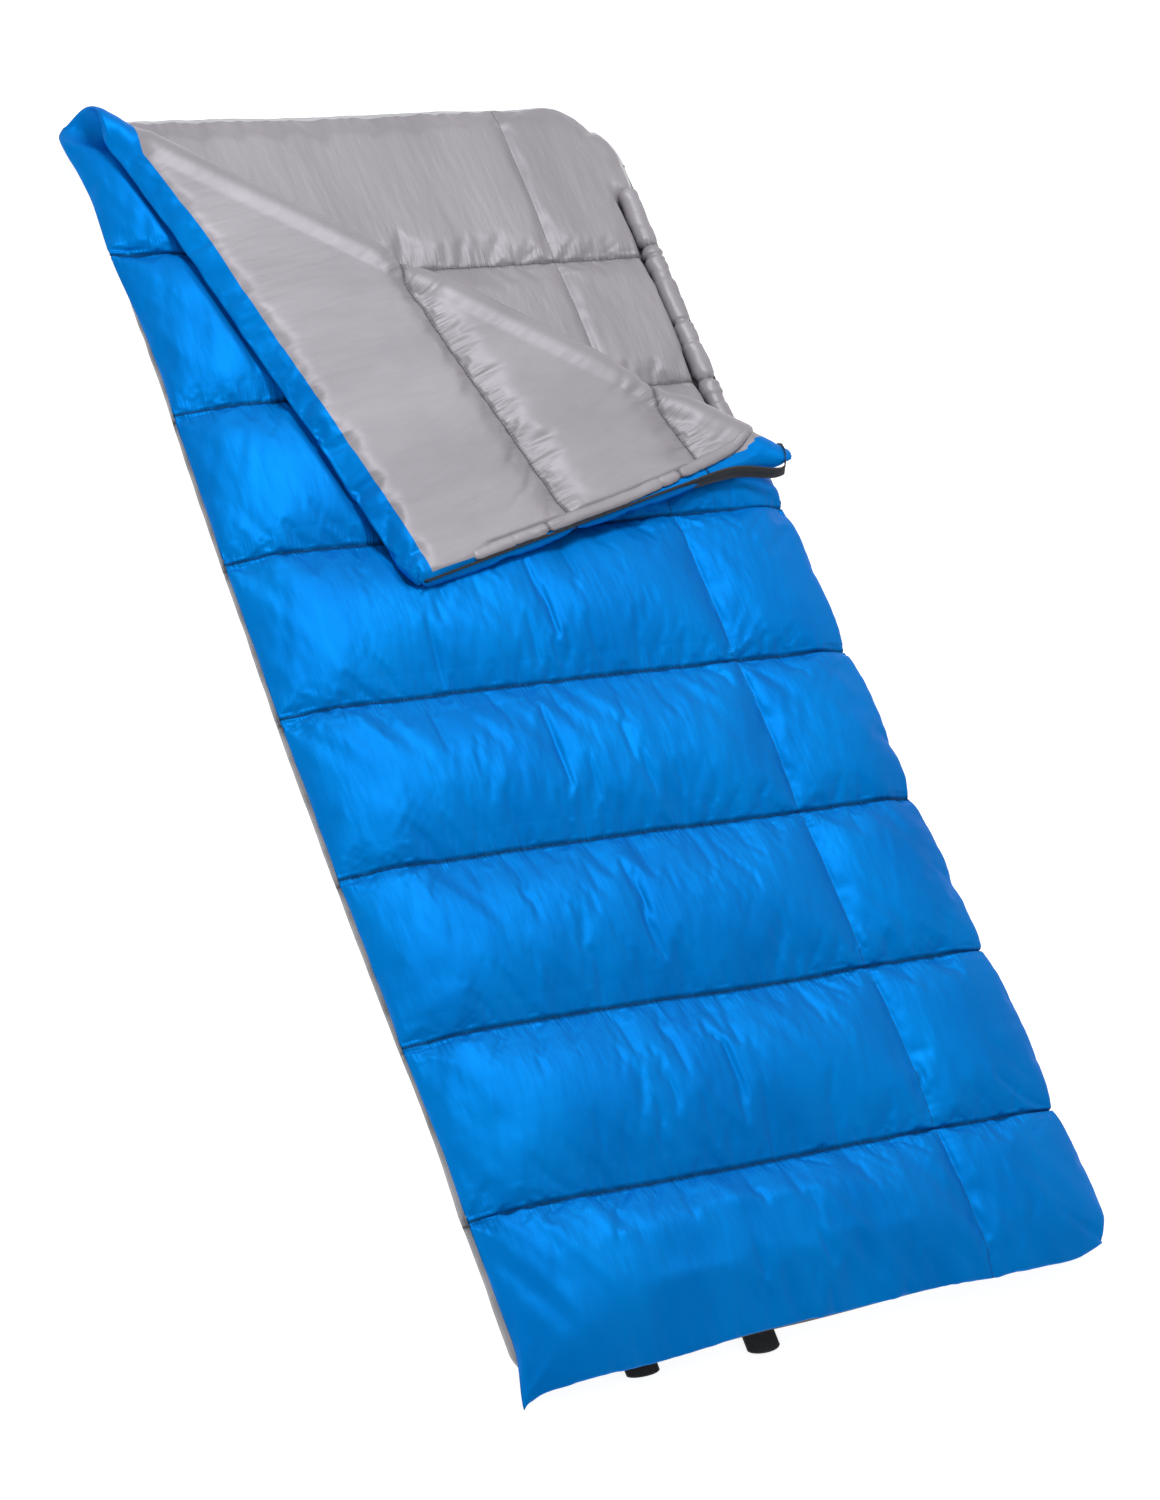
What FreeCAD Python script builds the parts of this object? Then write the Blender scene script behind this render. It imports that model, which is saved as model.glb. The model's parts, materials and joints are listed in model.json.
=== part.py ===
import FreeCAD, Part
import math
import os

# Rectangular sleeping bag, lying flat with its head corner folded back.
# X runs across the bag (the zip side is +X), Y along it (the head end is +Y), Z up.
# The origin is on the ground, under the middle of the bag. All sizes are in millimetres.

# Driving dimensions
LENGTH = 1900.0               # head edge to foot edge
WIDTH = 840.0                 # side seam to zip
LAYER = 30.0                  # loft of one padded layer
GAP = 0.3                     # running gap between bodies
CHANNELS = 8                  # quilted channels along the length
SIDE_ROW_SHARE = 0.22         # quilting row along the bag, as a share of the width from the zip edge
FOOT_TUCK = 30.0              # the last channel curves down to the zip and draws the foot edge in
FOOT_ZIP_RADIUS = 65.0        # plan radius of the corner that the zip turns round
CORNER_RADIUS = 20.0          # plan radius of the other corners
CREASE_ON_ZIP_EDGE = 300.0    # Y where the fold line of the head corner meets the zip edge

# Cloth, thread and quilting
SKIN = 1.0                    # shell and lining cloth
THREAD = 1.0
SLOT = 3.0                    # width of the dip that a quilting row makes in the batt
SLOT_DEPTH = 12.0
BOTTOM_OVERHANG = 15.5        # the bottom layer lies wider than the top one at the side seam
BINDING = (3.0, 6.0)          # side seam binding: width and height

# Zip
ZIP_SETBACK = 8.0             # the padded zip edge stays this far inside the bag's width
TAPE = 1.0
TAPE_MARGIN = 6.0             # from a layer's outer face to its tape
COIL = (2.4, 3.4)             # thickness and height of one row of the coil
COIL_GAP = 0.3                # from a row of the coil to the middle plane between the layers
ZIP_HEAD_END = 925.0
ZIP_FOOT_END = -380.0
STOP = (3.0, 4.5)             # end stop: thickness and length
FACING = (25.0, 8.0)          # soft strip inside the upper zip: width and thickness
FACING_HEAD_END = 843.0
DRAFT_TUBE_RADIUS = 14.0
DRAFT_TUBE_HEAD_END = 820.0

# Slider and pull
SLIDER_LENGTH = 24.0
SLIDER_Y = 278.0
SLIDER_WALL = 2.1
SLIDER_HEIGHT = 15.0
SLIDER_CLEARANCE = 0.4
PULL = (30.0, 8.0, 1.5)       # length, width, thickness
PULL_NECK = 5.4               # width of the pull between the lugs
PIN_RADIUS = 0.8
PIN_CLEARANCE = 0.08
LUG = (3.6, 3.2, 1.2)         # along the zip, out from the slider, thickness

# Foot straps
STRAP_WIDTH = 25.0
STRAP_PLY = 1.1
STRAP_PLY_GAP = 0.4
STRAP_LIFT = 0.5
STRAP_ANCHOR = 10.0
STRAP_PIVOT_GAP = 0.3
STRAPS = {"left": (-252.0, 22.0), "right": (-84.0, 32.0)}   # name: middle X and free length

# Derived places
HEAD = LENGTH / 2
FOOT = -LENGTH / 2 + FOOT_TUCK
RIGHT = WIDTH / 2 - ZIP_SETBACK
TOP_LEFT = -WIDTH / 2
BOTTOM_LEFT = TOP_LEFT - BOTTOM_OVERHANG
TOP_BASE = LAYER + GAP
TOP_FACE = TOP_BASE + LAYER
MIDDLE = LAYER + GAP / 2
CREASE_Z = TOP_FACE + GAP / 2
CHANNEL = LENGTH / CHANNELS
ROWS = [-LENGTH / 2 + CHANNEL * (i + 1) for i in range(CHANNELS - 1)]
SIDE_ROW = WIDTH / 2 - WIDTH * SIDE_ROW_SHARE
FOOT_CORNER = (RIGHT - FOOT_ZIP_RADIUS, FOOT + FOOT_ZIP_RADIUS)
FAR = 3000.0                  # larger than the bag, for cutting tools

CREASE_START = FreeCAD.Vector(WIDTH / 2, CREASE_ON_ZIP_EDGE, CREASE_Z)
CREASE_END = FreeCAD.Vector(-WIDTH / 2, HEAD, CREASE_Z)
CREASE_AXIS = (CREASE_END - CREASE_START).normalize()
CREASE_TURN = math.degrees(math.atan2(-CREASE_AXIS.y, -CREASE_AXIS.x))
CREASE_CLEARANCE = 1.0        # from the fold line to the cut ends of the cloth


def vector(x, y, z=0.0):
    return FreeCAD.Vector(x, y, z)


def block(x, y, z):
    """Box between the low and high value of each axis."""
    corner = vector(x[0], y[0], z[0])
    return Part.makeBox(x[1] - x[0], y[1] - y[0], z[1] - z[0], corner)


def save(name, shape):
    shape.exportStep("parts/" + name + ".step")
    print(name, "volume", round(shape.Volume / 1000.0, 1), "cm3", "solids", len(shape.Solids))


def rounded_plan(left, inset):
    """Flat face in the layer's plan outline, its edges moved in by inset."""
    wide = FOOT_ZIP_RADIUS - inset
    small = CORNER_RADIUS - inset
    low_x, high_x = left + inset, RIGHT - inset
    low_y, high_y = FOOT + inset, HEAD - inset
    centres = [
        (low_x + small, low_y + small, small),
        (high_x - wide, low_y + wide, wide),
        (high_x - small, high_y - small, small),
        (low_x + small, high_y - small, small),
    ]
    arcs = []
    for turn, (x, y, radius) in enumerate(centres):
        angles = [math.radians(180 + 90 * turn + step) for step in (0, 45, 90)]
        on_arc = [vector(x + radius * math.cos(a), y + radius * math.sin(a)) for a in angles]
        arcs.append(on_arc)
    edges = []
    for turn, on_arc in enumerate(arcs):
        edges.append(Part.Arc(*on_arc).toShape())
        edges.append(Part.LineSegment(on_arc[2], arcs[(turn + 1) % len(arcs)][0]).toShape())
    return Part.Face(Part.Wire(edges))


def plan_solid(left, inset, z_low, z_high):
    face = rounded_plan(left, inset)
    face.translate(vector(0, 0, z_low))
    return face.extrude(vector(0, 0, z_high - z_low))


def beyond_crease(u_low, u_high):
    """Cutting block between two distances from the fold line, positive towards the head corner."""
    tool = block((-FAR, FAR), (u_low, u_high), (-FAR, FAR))
    tool.rotate(vector(0, 0), vector(0, 0, 1), CREASE_TURN)
    tool.translate(vector(CREASE_START.x, CREASE_START.y))
    return tool


def save_split(name, shape):
    """Save the part of a top-layer piece that stays flat, and fold the rest back as the flap."""
    main = shape.common(beyond_crease(-FAR, -CREASE_CLEARANCE))
    flap = shape.common(beyond_crease(CREASE_CLEARANCE, FAR))
    flap.rotate(CREASE_START, CREASE_AXIS, 180)
    save("top_" + name, main)
    save("flap_" + name, flap)


def zip_band(inner, outer, z_low, z_high):
    """Band that follows the zip edge, the rounded corner and the foot edge."""
    def side(offset):
        radius = FOOT_ZIP_RADIUS + offset
        diagonal = radius * math.sqrt(0.5)
        return [
            vector(RIGHT + offset, ZIP_HEAD_END, z_low),
            vector(RIGHT + offset, FOOT_CORNER[1], z_low),
            vector(FOOT_CORNER[0] + diagonal, FOOT_CORNER[1] - diagonal, z_low),
            vector(FOOT_CORNER[0], FOOT - offset, z_low),
            vector(ZIP_FOOT_END, FOOT - offset, z_low),
        ]

    near, far = side(inner), side(outer)
    edges = []
    for a in (near, far):
        edges.append(Part.LineSegment(a[0], a[1]).toShape())
        edges.append(Part.Arc(a[1], a[2], a[3]).toShape())
        edges.append(Part.LineSegment(a[3], a[4]).toShape())
    edges.append(Part.LineSegment(near[0], far[0]).toShape())
    edges.append(Part.LineSegment(near[4], far[4]).toShape())
    face = Part.Face(Part.Wire(Part.__sortEdges__(edges)))
    return face.extrude(vector(0, 0, z_high - z_low))


def quilting_rows(left, z_low, z_high, width):
    """Walls along every quilting row, joined into one grid."""
    across = (left + SKIN, RIGHT - SKIN)
    along = (FOOT + SKIN, HEAD - SKIN)
    walls = [block(across, (y - width / 2, y + width / 2), (z_low, z_high)) for y in ROWS]
    lengthwise = block((SIDE_ROW - width / 2, SIDE_ROW + width / 2), along, (z_low, z_high))
    return lengthwise.multiFuse(walls).removeSplitter()


def quilted_batt(left, z_low, z_high):
    """Insulation of one layer, dipped on both faces along the quilting rows."""
    batt = plan_solid(left, SKIN, z_low, z_high)
    batt = batt.cut(quilting_rows(left, z_low, z_low + SLOT_DEPTH, SLOT))
    return batt.cut(quilting_rows(left, z_high - SLOT_DEPTH, z_high, SLOT))


def quilting_thread(left, z_low, z_high, soft_strip):
    """Needle thread on one face of the batt and bobbin thread on the other."""
    threads = []
    for base in (z_low, z_high - SLOT_DEPTH):
        threads.append(quilting_rows(left, base, base + SLOT_DEPTH, THREAD).cut(soft_strip))
    return Part.makeCompound(threads)


def shell_tray(left, base, face, inner_face):
    """Outer cloth of a layer: one broad face and the cloth that wraps the edges."""
    low, high = min(base, face), max(base, face)
    hollow_low, hollow_high = min(base, inner_face), max(base, inner_face)
    return plan_solid(left, 0, low, high).cut(plan_solid(left, SKIN, hollow_low, hollow_high))


def bottom_layer():
    strip = block((RIGHT - SKIN - 2 * DRAFT_TUBE_RADIUS, RIGHT), (-FAR, DRAFT_TUBE_HEAD_END), (SKIN, LAYER))
    tube_foot_end = FOOT_CORNER[1]
    tube_centre = vector(RIGHT - SKIN - DRAFT_TUBE_RADIUS, tube_foot_end, SKIN + DRAFT_TUBE_RADIUS)
    tube_length = DRAFT_TUBE_HEAD_END - tube_foot_end
    lining_base = LAYER - SKIN
    save("bottom_shell", shell_tray(BOTTOM_LEFT, LAYER, 0, SKIN))
    save("bottom_fill", quilted_batt(BOTTOM_LEFT, SKIN, lining_base).cut(strip))
    save("bottom_lining", plan_solid(BOTTOM_LEFT, SKIN, lining_base, LAYER).cut(strip))
    save("bottom_quilting", quilting_thread(BOTTOM_LEFT, SKIN, lining_base, strip))
    save("draft_tube", Part.makeCylinder(DRAFT_TUBE_RADIUS, tube_length, tube_centre, vector(0, 1)))


def side_seam_binding():
    width, height = BINDING
    across = (BOTTOM_LEFT - width, BOTTOM_LEFT)
    along = (FOOT + CORNER_RADIUS, HEAD - CORNER_RADIUS)
    save("side_seam_binding", block(across, along, (LAYER - height, LAYER)))


def top_layer():
    facing_width, facing_height = FACING
    facing_top = TOP_BASE + facing_height
    across = (RIGHT - SKIN - facing_width, RIGHT - SKIN)
    along = (FOOT_CORNER[1], FACING_HEAD_END)
    facing = block(across, along, (TOP_BASE, facing_top))
    lining_face = TOP_BASE + SKIN
    shell_base = TOP_FACE - SKIN
    save_split("shell", shell_tray(TOP_LEFT, TOP_BASE, TOP_FACE, shell_base))
    save_split("fill", quilted_batt(TOP_LEFT, lining_face, shell_base).cut(facing))
    save_split("lining", plan_solid(TOP_LEFT, SKIN, TOP_BASE, lining_face).cut(facing))
    save_split("quilting", quilting_thread(TOP_LEFT, lining_face, shell_base, facing))
    save_split("zip_facing", facing)


def fold_roll():
    """Cloth and batt that turn round the fold line between the top layer and its flap."""
    overrun = WIDTH
    start = CREASE_START - CREASE_AXIS * overrun
    length = 4 * overrun
    outside = beyond_crease(GAP - CREASE_CLEARANCE, FAR)
    plan = plan_solid(TOP_LEFT, 0, 0, FAR)

    def half_tube(inner, outer):
        tube = Part.makeCylinder(outer, length, start, CREASE_AXIS)
        tube = tube.cut(Part.makeCylinder(inner, length, start, CREASE_AXIS))
        return tube.common(outside).common(plan)

    outer = CREASE_Z - TOP_BASE
    save("fold_lining", half_tube(outer - SKIN, outer))
    save("fold_fill", half_tube(SKIN, outer - SKIN))


def zip_rows():
    coil_thickness, coil_height = COIL
    coil_low = MIDDLE - COIL_GAP
    coil_high = MIDDLE + COIL_GAP
    save("lower_zip_tape", zip_band(0, TAPE, TAPE_MARGIN, coil_low))
    save("lower_zip_coil", zip_band(TAPE, TAPE + coil_thickness, coil_low - coil_height, coil_low))
    save_split("zip_tape", zip_band(0, TAPE, coil_high, TOP_FACE - TAPE_MARGIN))
    save_split("zip_coil", zip_band(TAPE, TAPE + coil_thickness, coil_high, coil_high + coil_height))


def zip_stops():
    coil_height = COIL[1]
    thickness, length = STOP
    across = (RIGHT + TAPE, RIGHT + TAPE + thickness)
    head = (ZIP_HEAD_END, ZIP_HEAD_END + length)
    lower = (MIDDLE - COIL_GAP - coil_height, MIDDLE - COIL_GAP)
    upper = (MIDDLE + COIL_GAP, MIDDLE + COIL_GAP + coil_height)
    save("lower_zip_head_stop", block(across, head, lower))
    flap_stop = block(across, head, upper)
    flap_stop.rotate(CREASE_START, CREASE_AXIS, 180)
    save("flap_zip_head_stop", flap_stop)
    foot = (FOOT - TAPE - thickness, FOOT - TAPE)
    save("zip_foot_stop", block((ZIP_FOOT_END - length, ZIP_FOOT_END), foot, lower))


def slider():
    """Slider plate outside the coil, a lip under its lower row, and lugs with the pull's pin."""
    coil_thickness, coil_height = COIL
    along = (SLIDER_Y - SLIDER_LENGTH / 2, SLIDER_Y + SLIDER_LENGTH / 2)
    plate_x = RIGHT + TAPE + coil_thickness + SLIDER_CLEARANCE
    plate_face = plate_x + SLIDER_WALL
    low, high = MIDDLE - SLIDER_HEIGHT / 2, MIDDLE + SLIDER_HEIGHT / 2
    plate = block((plate_x, plate_face), along, (low, high))
    lip_top = MIDDLE - COIL_GAP - coil_height - SLIDER_CLEARANCE
    lip = block((RIGHT + TAPE + SLIDER_CLEARANCE, plate_face), along, (low, lip_top))
    lug_length, lug_depth, lug_wall = LUG
    lug_base = PULL_NECK / 2 + GAP
    lugs = []
    for side in (-1, 1):
        ends = sorted((MIDDLE + side * lug_base, MIDDLE + side * (lug_base + lug_wall)))
        lug_along = (SLIDER_Y - lug_length / 2, SLIDER_Y + lug_length / 2)
        lugs.append(block((plate_face, plate_face + lug_depth), lug_along, ends))
    pin_x = plate_face + lug_depth / 2
    pin = Part.makeCylinder(PIN_RADIUS, 2 * lug_base, vector(pin_x, SLIDER_Y, MIDDLE - lug_base))
    save("zip_slider", plate.multiFuse([lip, pin] + lugs).removeSplitter())
    return pin_x


def pull_tab(pin_x):
    length, width, thickness = PULL
    across = (pin_x - thickness / 2, pin_x + thickness / 2)
    neck_end = SLIDER_Y - LUG[0]
    tail = SLIDER_Y - length
    neck = block(across, (neck_end, SLIDER_Y), (MIDDLE - PULL_NECK / 2, MIDDLE + PULL_NECK / 2))
    plate = block(across, (tail, neck_end), (MIDDLE - width / 2, MIDDLE + width / 2))
    eye = Part.makeCylinder(thickness, PULL_NECK, vector(pin_x, SLIDER_Y, MIDDLE - PULL_NECK / 2))
    bore = Part.makeCylinder(PIN_RADIUS + PIN_CLEARANCE, width, vector(pin_x, SLIDER_Y, MIDDLE - width / 2))
    save("zip_pull", plate.multiFuse([neck, eye]).cut(bore).removeSplitter())


def foot_strap(name, middle, free_length):
    """Webbing loop laid flat: two plies joined by a round turn, and the end sewn to the foot seam."""
    across = (middle - STRAP_WIDTH / 2, middle + STRAP_WIDTH / 2)
    doubled = 2 * STRAP_PLY + STRAP_PLY_GAP
    base, top = STRAP_LIFT, STRAP_LIFT + doubled
    pivot_y = FOOT - STRAP_ANCHOR - STRAP_PIVOT_GAP
    near = pivot_y - doubled / 2 - STRAP_PIVOT_GAP
    turn_y = pivot_y - free_length
    centre_z = STRAP_LIFT + doubled / 2
    turn_centre = vector(across[0], turn_y, centre_z)
    plies = block(across, (turn_y, near), (base, top))
    turn = Part.makeCylinder(doubled / 2, STRAP_WIDTH, turn_centre, vector(1, 0))
    inner_z = (base + STRAP_PLY, top - STRAP_PLY)
    slot = block(across, (turn_y, near), inner_z)
    slot_end = Part.makeCylinder(STRAP_PLY_GAP / 2, STRAP_WIDTH, turn_centre, vector(1, 0))
    loop = plies.fuse(turn).cut(slot).cut(slot_end).removeSplitter()
    save("foot_strap_" + name, loop)
    anchor = block(across, (FOOT - STRAP_ANCHOR, FOOT), (base, top))
    save("strap_anchor_" + name, anchor)
    print("foot strap", name, "pivot y", pivot_y, "z", centre_z)


bottom_layer()
side_seam_binding()
top_layer()
fold_roll()
zip_rows()
zip_stops()
pin_x = slider()
pull_tab(pin_x)
for strap_name, (strap_middle, strap_length) in STRAPS.items():
    foot_strap(strap_name, strap_middle, strap_length)

print("side hinge x", BOTTOM_LEFT - BINDING[0] / 2, "z", MIDDLE)
print("crease point", CREASE_START, "axis", CREASE_AXIS)
print("pull pin x", pin_x, "y", SLIDER_Y)
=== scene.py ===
# %% [markdown]
# # A rectangular sleeping bag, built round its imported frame
# The bag lies flat with its head corner folded back. The frame gives the bodies and the places:
# a bottom layer, a top layer that opens about the side seam, and a head flap that folds about a crease.
# Nearly everything here is cloth, so the plain solids of the frame are replaced by puffed, sewn pieces.

# %% Load the frame
import json
import math

import bpy
import numpy as np
from mathutils import Matrix, Vector


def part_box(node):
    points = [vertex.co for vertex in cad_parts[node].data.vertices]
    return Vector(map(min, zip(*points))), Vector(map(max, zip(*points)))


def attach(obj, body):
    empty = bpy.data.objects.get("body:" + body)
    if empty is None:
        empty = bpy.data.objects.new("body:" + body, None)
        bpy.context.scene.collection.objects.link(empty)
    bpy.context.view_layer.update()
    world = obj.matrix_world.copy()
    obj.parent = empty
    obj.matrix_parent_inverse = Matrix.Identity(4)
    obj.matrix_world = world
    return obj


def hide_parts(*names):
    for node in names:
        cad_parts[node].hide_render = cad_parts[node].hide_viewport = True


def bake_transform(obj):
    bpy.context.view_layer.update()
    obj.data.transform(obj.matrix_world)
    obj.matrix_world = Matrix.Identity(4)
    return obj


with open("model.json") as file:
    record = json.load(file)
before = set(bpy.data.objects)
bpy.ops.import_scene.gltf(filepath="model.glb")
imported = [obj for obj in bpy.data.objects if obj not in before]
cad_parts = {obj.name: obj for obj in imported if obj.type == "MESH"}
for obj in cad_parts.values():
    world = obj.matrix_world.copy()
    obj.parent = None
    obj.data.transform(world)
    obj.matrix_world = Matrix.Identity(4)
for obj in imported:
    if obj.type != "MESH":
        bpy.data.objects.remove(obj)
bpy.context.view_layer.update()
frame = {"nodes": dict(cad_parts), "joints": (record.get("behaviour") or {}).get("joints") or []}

# %% [markdown]
# ## Places
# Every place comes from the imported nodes, so a piece never has to be fitted afterwards.
# Only the quilting pattern is stated here: equal channels from the head down, and one row of
# stitches along the bag, a little over a fifth of the width in from the zip.

# %% Places read from the frame
top_low, top_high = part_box("top_shell")
bottom_low, bottom_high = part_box("bottom_shell")
coil_low, coil_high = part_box("lower_zip_coil")
joints = {joint["name"]: joint for joint in frame["joints"]}

LEFT, RIGHT = top_low.x, top_high.x
BOTTOM_LEFT = bottom_low.x
FOOT, HEAD = bottom_low.y, bottom_high.y
LAYER = bottom_high.z - bottom_low.z
MIDDLE = (bottom_high.z + top_low.z) / 2
CHANNELS = 8
CHANNEL = 2 * HEAD / CHANNELS
ROWS = [HEAD - CHANNEL * (CHANNELS - 1 - i) for i in range(CHANNELS - 1)]
SIDE_ROW = 0.235
HEM = 0.034
FOOT_RADIUS = 0.065
print("layer", round(LAYER, 4), "rows at", [round(y, 4) for y in ROWS])

# %% [markdown]
# ## Soft curves
# Cloth has no sharp steps. A shape could be sculpted by hand, but then it couldn't be made again from
# sizes. So every bulge, dip and edge here is a sum of a few soft curves: a step, a quarter round, two kinds
# of fall-off, two soft limits and a smooth random cloud. The random values have fixed seeds.

# %% Small helpers for shaping
def smooth(t):
    """0 to 1 with soft ends."""
    t = np.clip(t, 0.0, 1.0)
    return t * t * (3.0 - 2.0 * t)


def rise(distance, width):
    """Quarter-round rise from 0 at an edge to 1 at `width` inside it."""
    return np.sqrt(np.clip(1.0 - (1.0 - np.clip(distance / width, 0, 1)) ** 2, 0, 1))


def fade(distance, length):
    """1 at a line, dying away over `length`."""
    return np.exp(-distance / length)


def bell(distance, width):
    """1 at a line, falling to 0 on both sides of it."""
    return np.exp(-(distance / width) ** 2)


def keep_above(z, level, softness=0.0007):
    return level + softness * np.logaddexp(0, (z - level) / softness)


def keep_below(z, level, softness=0.0007):
    return level - softness * np.logaddexp(0, (level - z) / softness)


def cloud(x, y, size_x, size_y, seed):
    """Smooth random values between about -1 and 1, with blobs of the given sizes in metres."""
    side = 256
    lattice = np.random.default_rng(seed).uniform(-1.0, 1.0, (side, side))
    gx, gy = x / size_x + 77.7, y / size_y + 91.3
    ix, iy = np.floor(gx).astype(int), np.floor(gy).astype(int)
    fx, fy = smooth(gx - ix), smooth(gy - iy)
    low = lattice[ix % side, iy % side] * (1 - fx) + lattice[(ix + 1) % side, iy % side] * fx
    high = lattice[ix % side, (iy + 1) % side] * (1 - fx) + lattice[(ix + 1) % side, (iy + 1) % side] * fx
    return low * (1 - fy) + high * fy


print("half way: soft step", float(smooth(0.5)), "quarter round", round(float(rise(0.5, 1.0)), 3))

# %% [markdown]
# ## The fold
# The head corner of the top layer is turned back over the layer about a diagonal crease, where the frame
# has a hinge. It could be modelled folded, but then it would never unfold cleanly. So a sheet that
# crosses the crease is made flat first, and each point is then turned by a share of the half turn:
# nothing on the flat side, all of it on the flap, and a soft step between them.

# %% Fold a flat piece of the top layer back about the crease
crease = joints["head_corner_fold"]
crease_point = np.array(crease["pos_m"])
crease_axis = np.array(crease["axis"]) / np.linalg.norm(crease["axis"])
crease_out = np.array([crease_axis[1], -crease_axis[0], 0.0])
FOLD_REACH = 0.030
FOLD_TIP_Y = crease_point[1] + 0.01


def beyond_crease(points):
    """Distance past the crease towards the head corner, on the flat layer."""
    return (points - crease_point) @ crease_out


def fold_shares(points):
    return smooth((beyond_crease(points) + FOLD_REACH) / (2 * FOLD_REACH))


def turned(points, pivot, axis, angles):
    p = points - pivot
    c, s = np.cos(angles)[:, None], np.sin(angles)[:, None]
    along = (p @ axis)[:, None] * axis
    return pivot + p * c + np.cross(axis, p) * s + along * (1 - c)


def fold_back(points):
    return turned(points, crease_point, crease_axis, -math.pi * fold_shares(points))


print("crease axis", crease_axis.round(3), "outward", crease_out.round(3))

# %% [markdown]
# ## A new piece
# A mesh can be built from primitives and modifiers, or straight from points and faces. Sewn pieces follow
# formulas, so they are made from points. Each keeps a map of where it lies on the flat cloth, because
# weave and creases run along the cloth and not along the room.

# %% Add a piece, flat or folded
def new_object(name, points, faces):
    mesh = bpy.data.meshes.new(name)
    mesh.from_pydata(np.asarray(points).tolist(), [], [list(map(int, face)) for face in faces])
    mesh.update()
    made = bpy.data.objects.new(name, mesh)
    bpy.context.scene.collection.objects.link(made)
    return made


def add_piece(name, points, faces, material, slot, flat=None):
    """A new mesh piece. `flat` is where each point lies on the flat cloth, for the weave and the pleats."""
    piece = new_object(name, points, faces)
    mesh = piece.data
    mesh.materials.append(material)
    on_cloth = points[:, :2] if flat is None else flat
    corners = np.empty(len(mesh.loops), np.int32)
    mesh.loops.foreach_get("vertex_index", corners)
    mesh.uv_layers.new(name="cloth").data.foreach_set("uv", on_cloth[corners].astype(np.float32).ravel())
    mesh.polygons.foreach_set("use_smooth", [True] * len(mesh.polygons))
    mesh.update()
    return piece


def add_folded(name, flat_points, faces, material, slot, flat=None):
    """A piece of the top layer, folded about the crease, with a soft bend between the layer and its head
    flap.
    """
    on_cloth = flat_points[:, :2] if flat is None else flat
    piece = add_piece(name, fold_back(flat_points), faces, material, slot, on_cloth)
    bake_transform(piece)
    return piece


print("the fold bends over", 2 * FOLD_REACH, "m of cloth")


# %% [markdown]
# ## Finishes
# The shell and lining are satin-woven polyester: filament yarns that lie flat and shine along the
# weave. A picture of cloth could be laid on, but it would repeat and blur. So the finish is made of
# small shader nodes, and the helpers here each give one of them: yarns, drawn-out noise, bump, and the shade
# that gathers in the quilting rows.

# %% Shader helpers
ONE_BAND = 0.314


def new_material(name):
    material = bpy.data.materials.new(name)
    material.use_nodes = True
    tree = material.node_tree
    return material, tree, tree.nodes["Principled BSDF"]


def node(tree, kind, **settings):
    made = tree.nodes.new(kind)
    for key, value in settings.items():
        if key in made.inputs:
            made.inputs[key].default_value = value
        else:
            setattr(made, key, value)
    return made


def yarns(tree, coordinates, direction, spacing):
    """Fine parallel yarns across one direction."""
    wave = node(tree, "ShaderNodeTexWave", wave_type="BANDS", bands_direction=direction, wave_profile="SIN")
    wave.inputs["Scale"].default_value = ONE_BAND / spacing
    wave.inputs["Distortion"].default_value = 0.6
    wave.inputs["Detail"].default_value = 1.0
    tree.links.new(coordinates, wave.inputs["Vector"])
    return wave.outputs["Fac"]


def math_node(tree, operation, *values):
    made = node(tree, "ShaderNodeMath", operation=operation)
    for socket, value in zip(made.inputs, values):
        if isinstance(value, bpy.types.NodeSocket):
            tree.links.new(value, socket)
        else:
            socket.default_value = value
    return made.outputs[0]


def stretched_noise(tree, place, stretch, detail):
    """Noise drawn out by different amounts across and along the cloth."""
    mapping = node(tree, "ShaderNodeMapping")
    mapping.inputs["Scale"].default_value = stretch
    tree.links.new(place, mapping.inputs["Vector"])
    noise = node(tree, "ShaderNodeTexNoise", Scale=1.0, Detail=detail, Roughness=0.5)
    tree.links.new(mapping.outputs["Vector"], noise.inputs["Vector"])
    return noise.outputs["Fac"]


def beside_rows(tree, place, reach):
    """1 in the crease of each quilting row, falling to 0 over the given reach."""
    split = node(tree, "ShaderNodeSeparateXYZ")
    tree.links.new(place, split.inputs[0])
    count = math_node(tree, "DIVIDE", math_node(tree, "SUBTRACT", split.outputs["Y"], ROWS[0]), CHANNEL)
    away = math_node(tree, "ABSOLUTE", math_node(tree, "SUBTRACT", count, math_node(tree, "ROUND", count)))
    near = math_node(tree, "SUBTRACT", 1.0, math_node(tree, "DIVIDE", away, reach / CHANNEL))
    inside = math_node(tree, "COMPARE", split.outputs["Y"], 0.0, HEAD - CHANNEL / 2)
    return math_node(tree, "MULTIPLY", math_node(tree, "MAXIMUM", near, 0.0), inside)


def bumped(tree, height, strength, distance, under=None):
    bump = node(tree, "ShaderNodeBump", Strength=strength, Distance=distance)
    tree.links.new(height, bump.inputs["Height"])
    if under is not None:
        tree.links.new(under, bump.inputs["Normal"])
    return bump.outputs["Normal"]


print("the weave's wave scale at 1 mm spacing is", ONE_BAND / 0.001)

# %% [markdown]
# ## Satin for shell and lining
# Colour comes from a dyed base with a little metallic in it, so highlights keep the colour of the cloth.
# A velvet or a plastic finish would be wrong here: the first has no highlight, the second a white one. A fine
# two-way weave, long soft creases and short gathers beside the rows go into the bump and the roughness.

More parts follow.
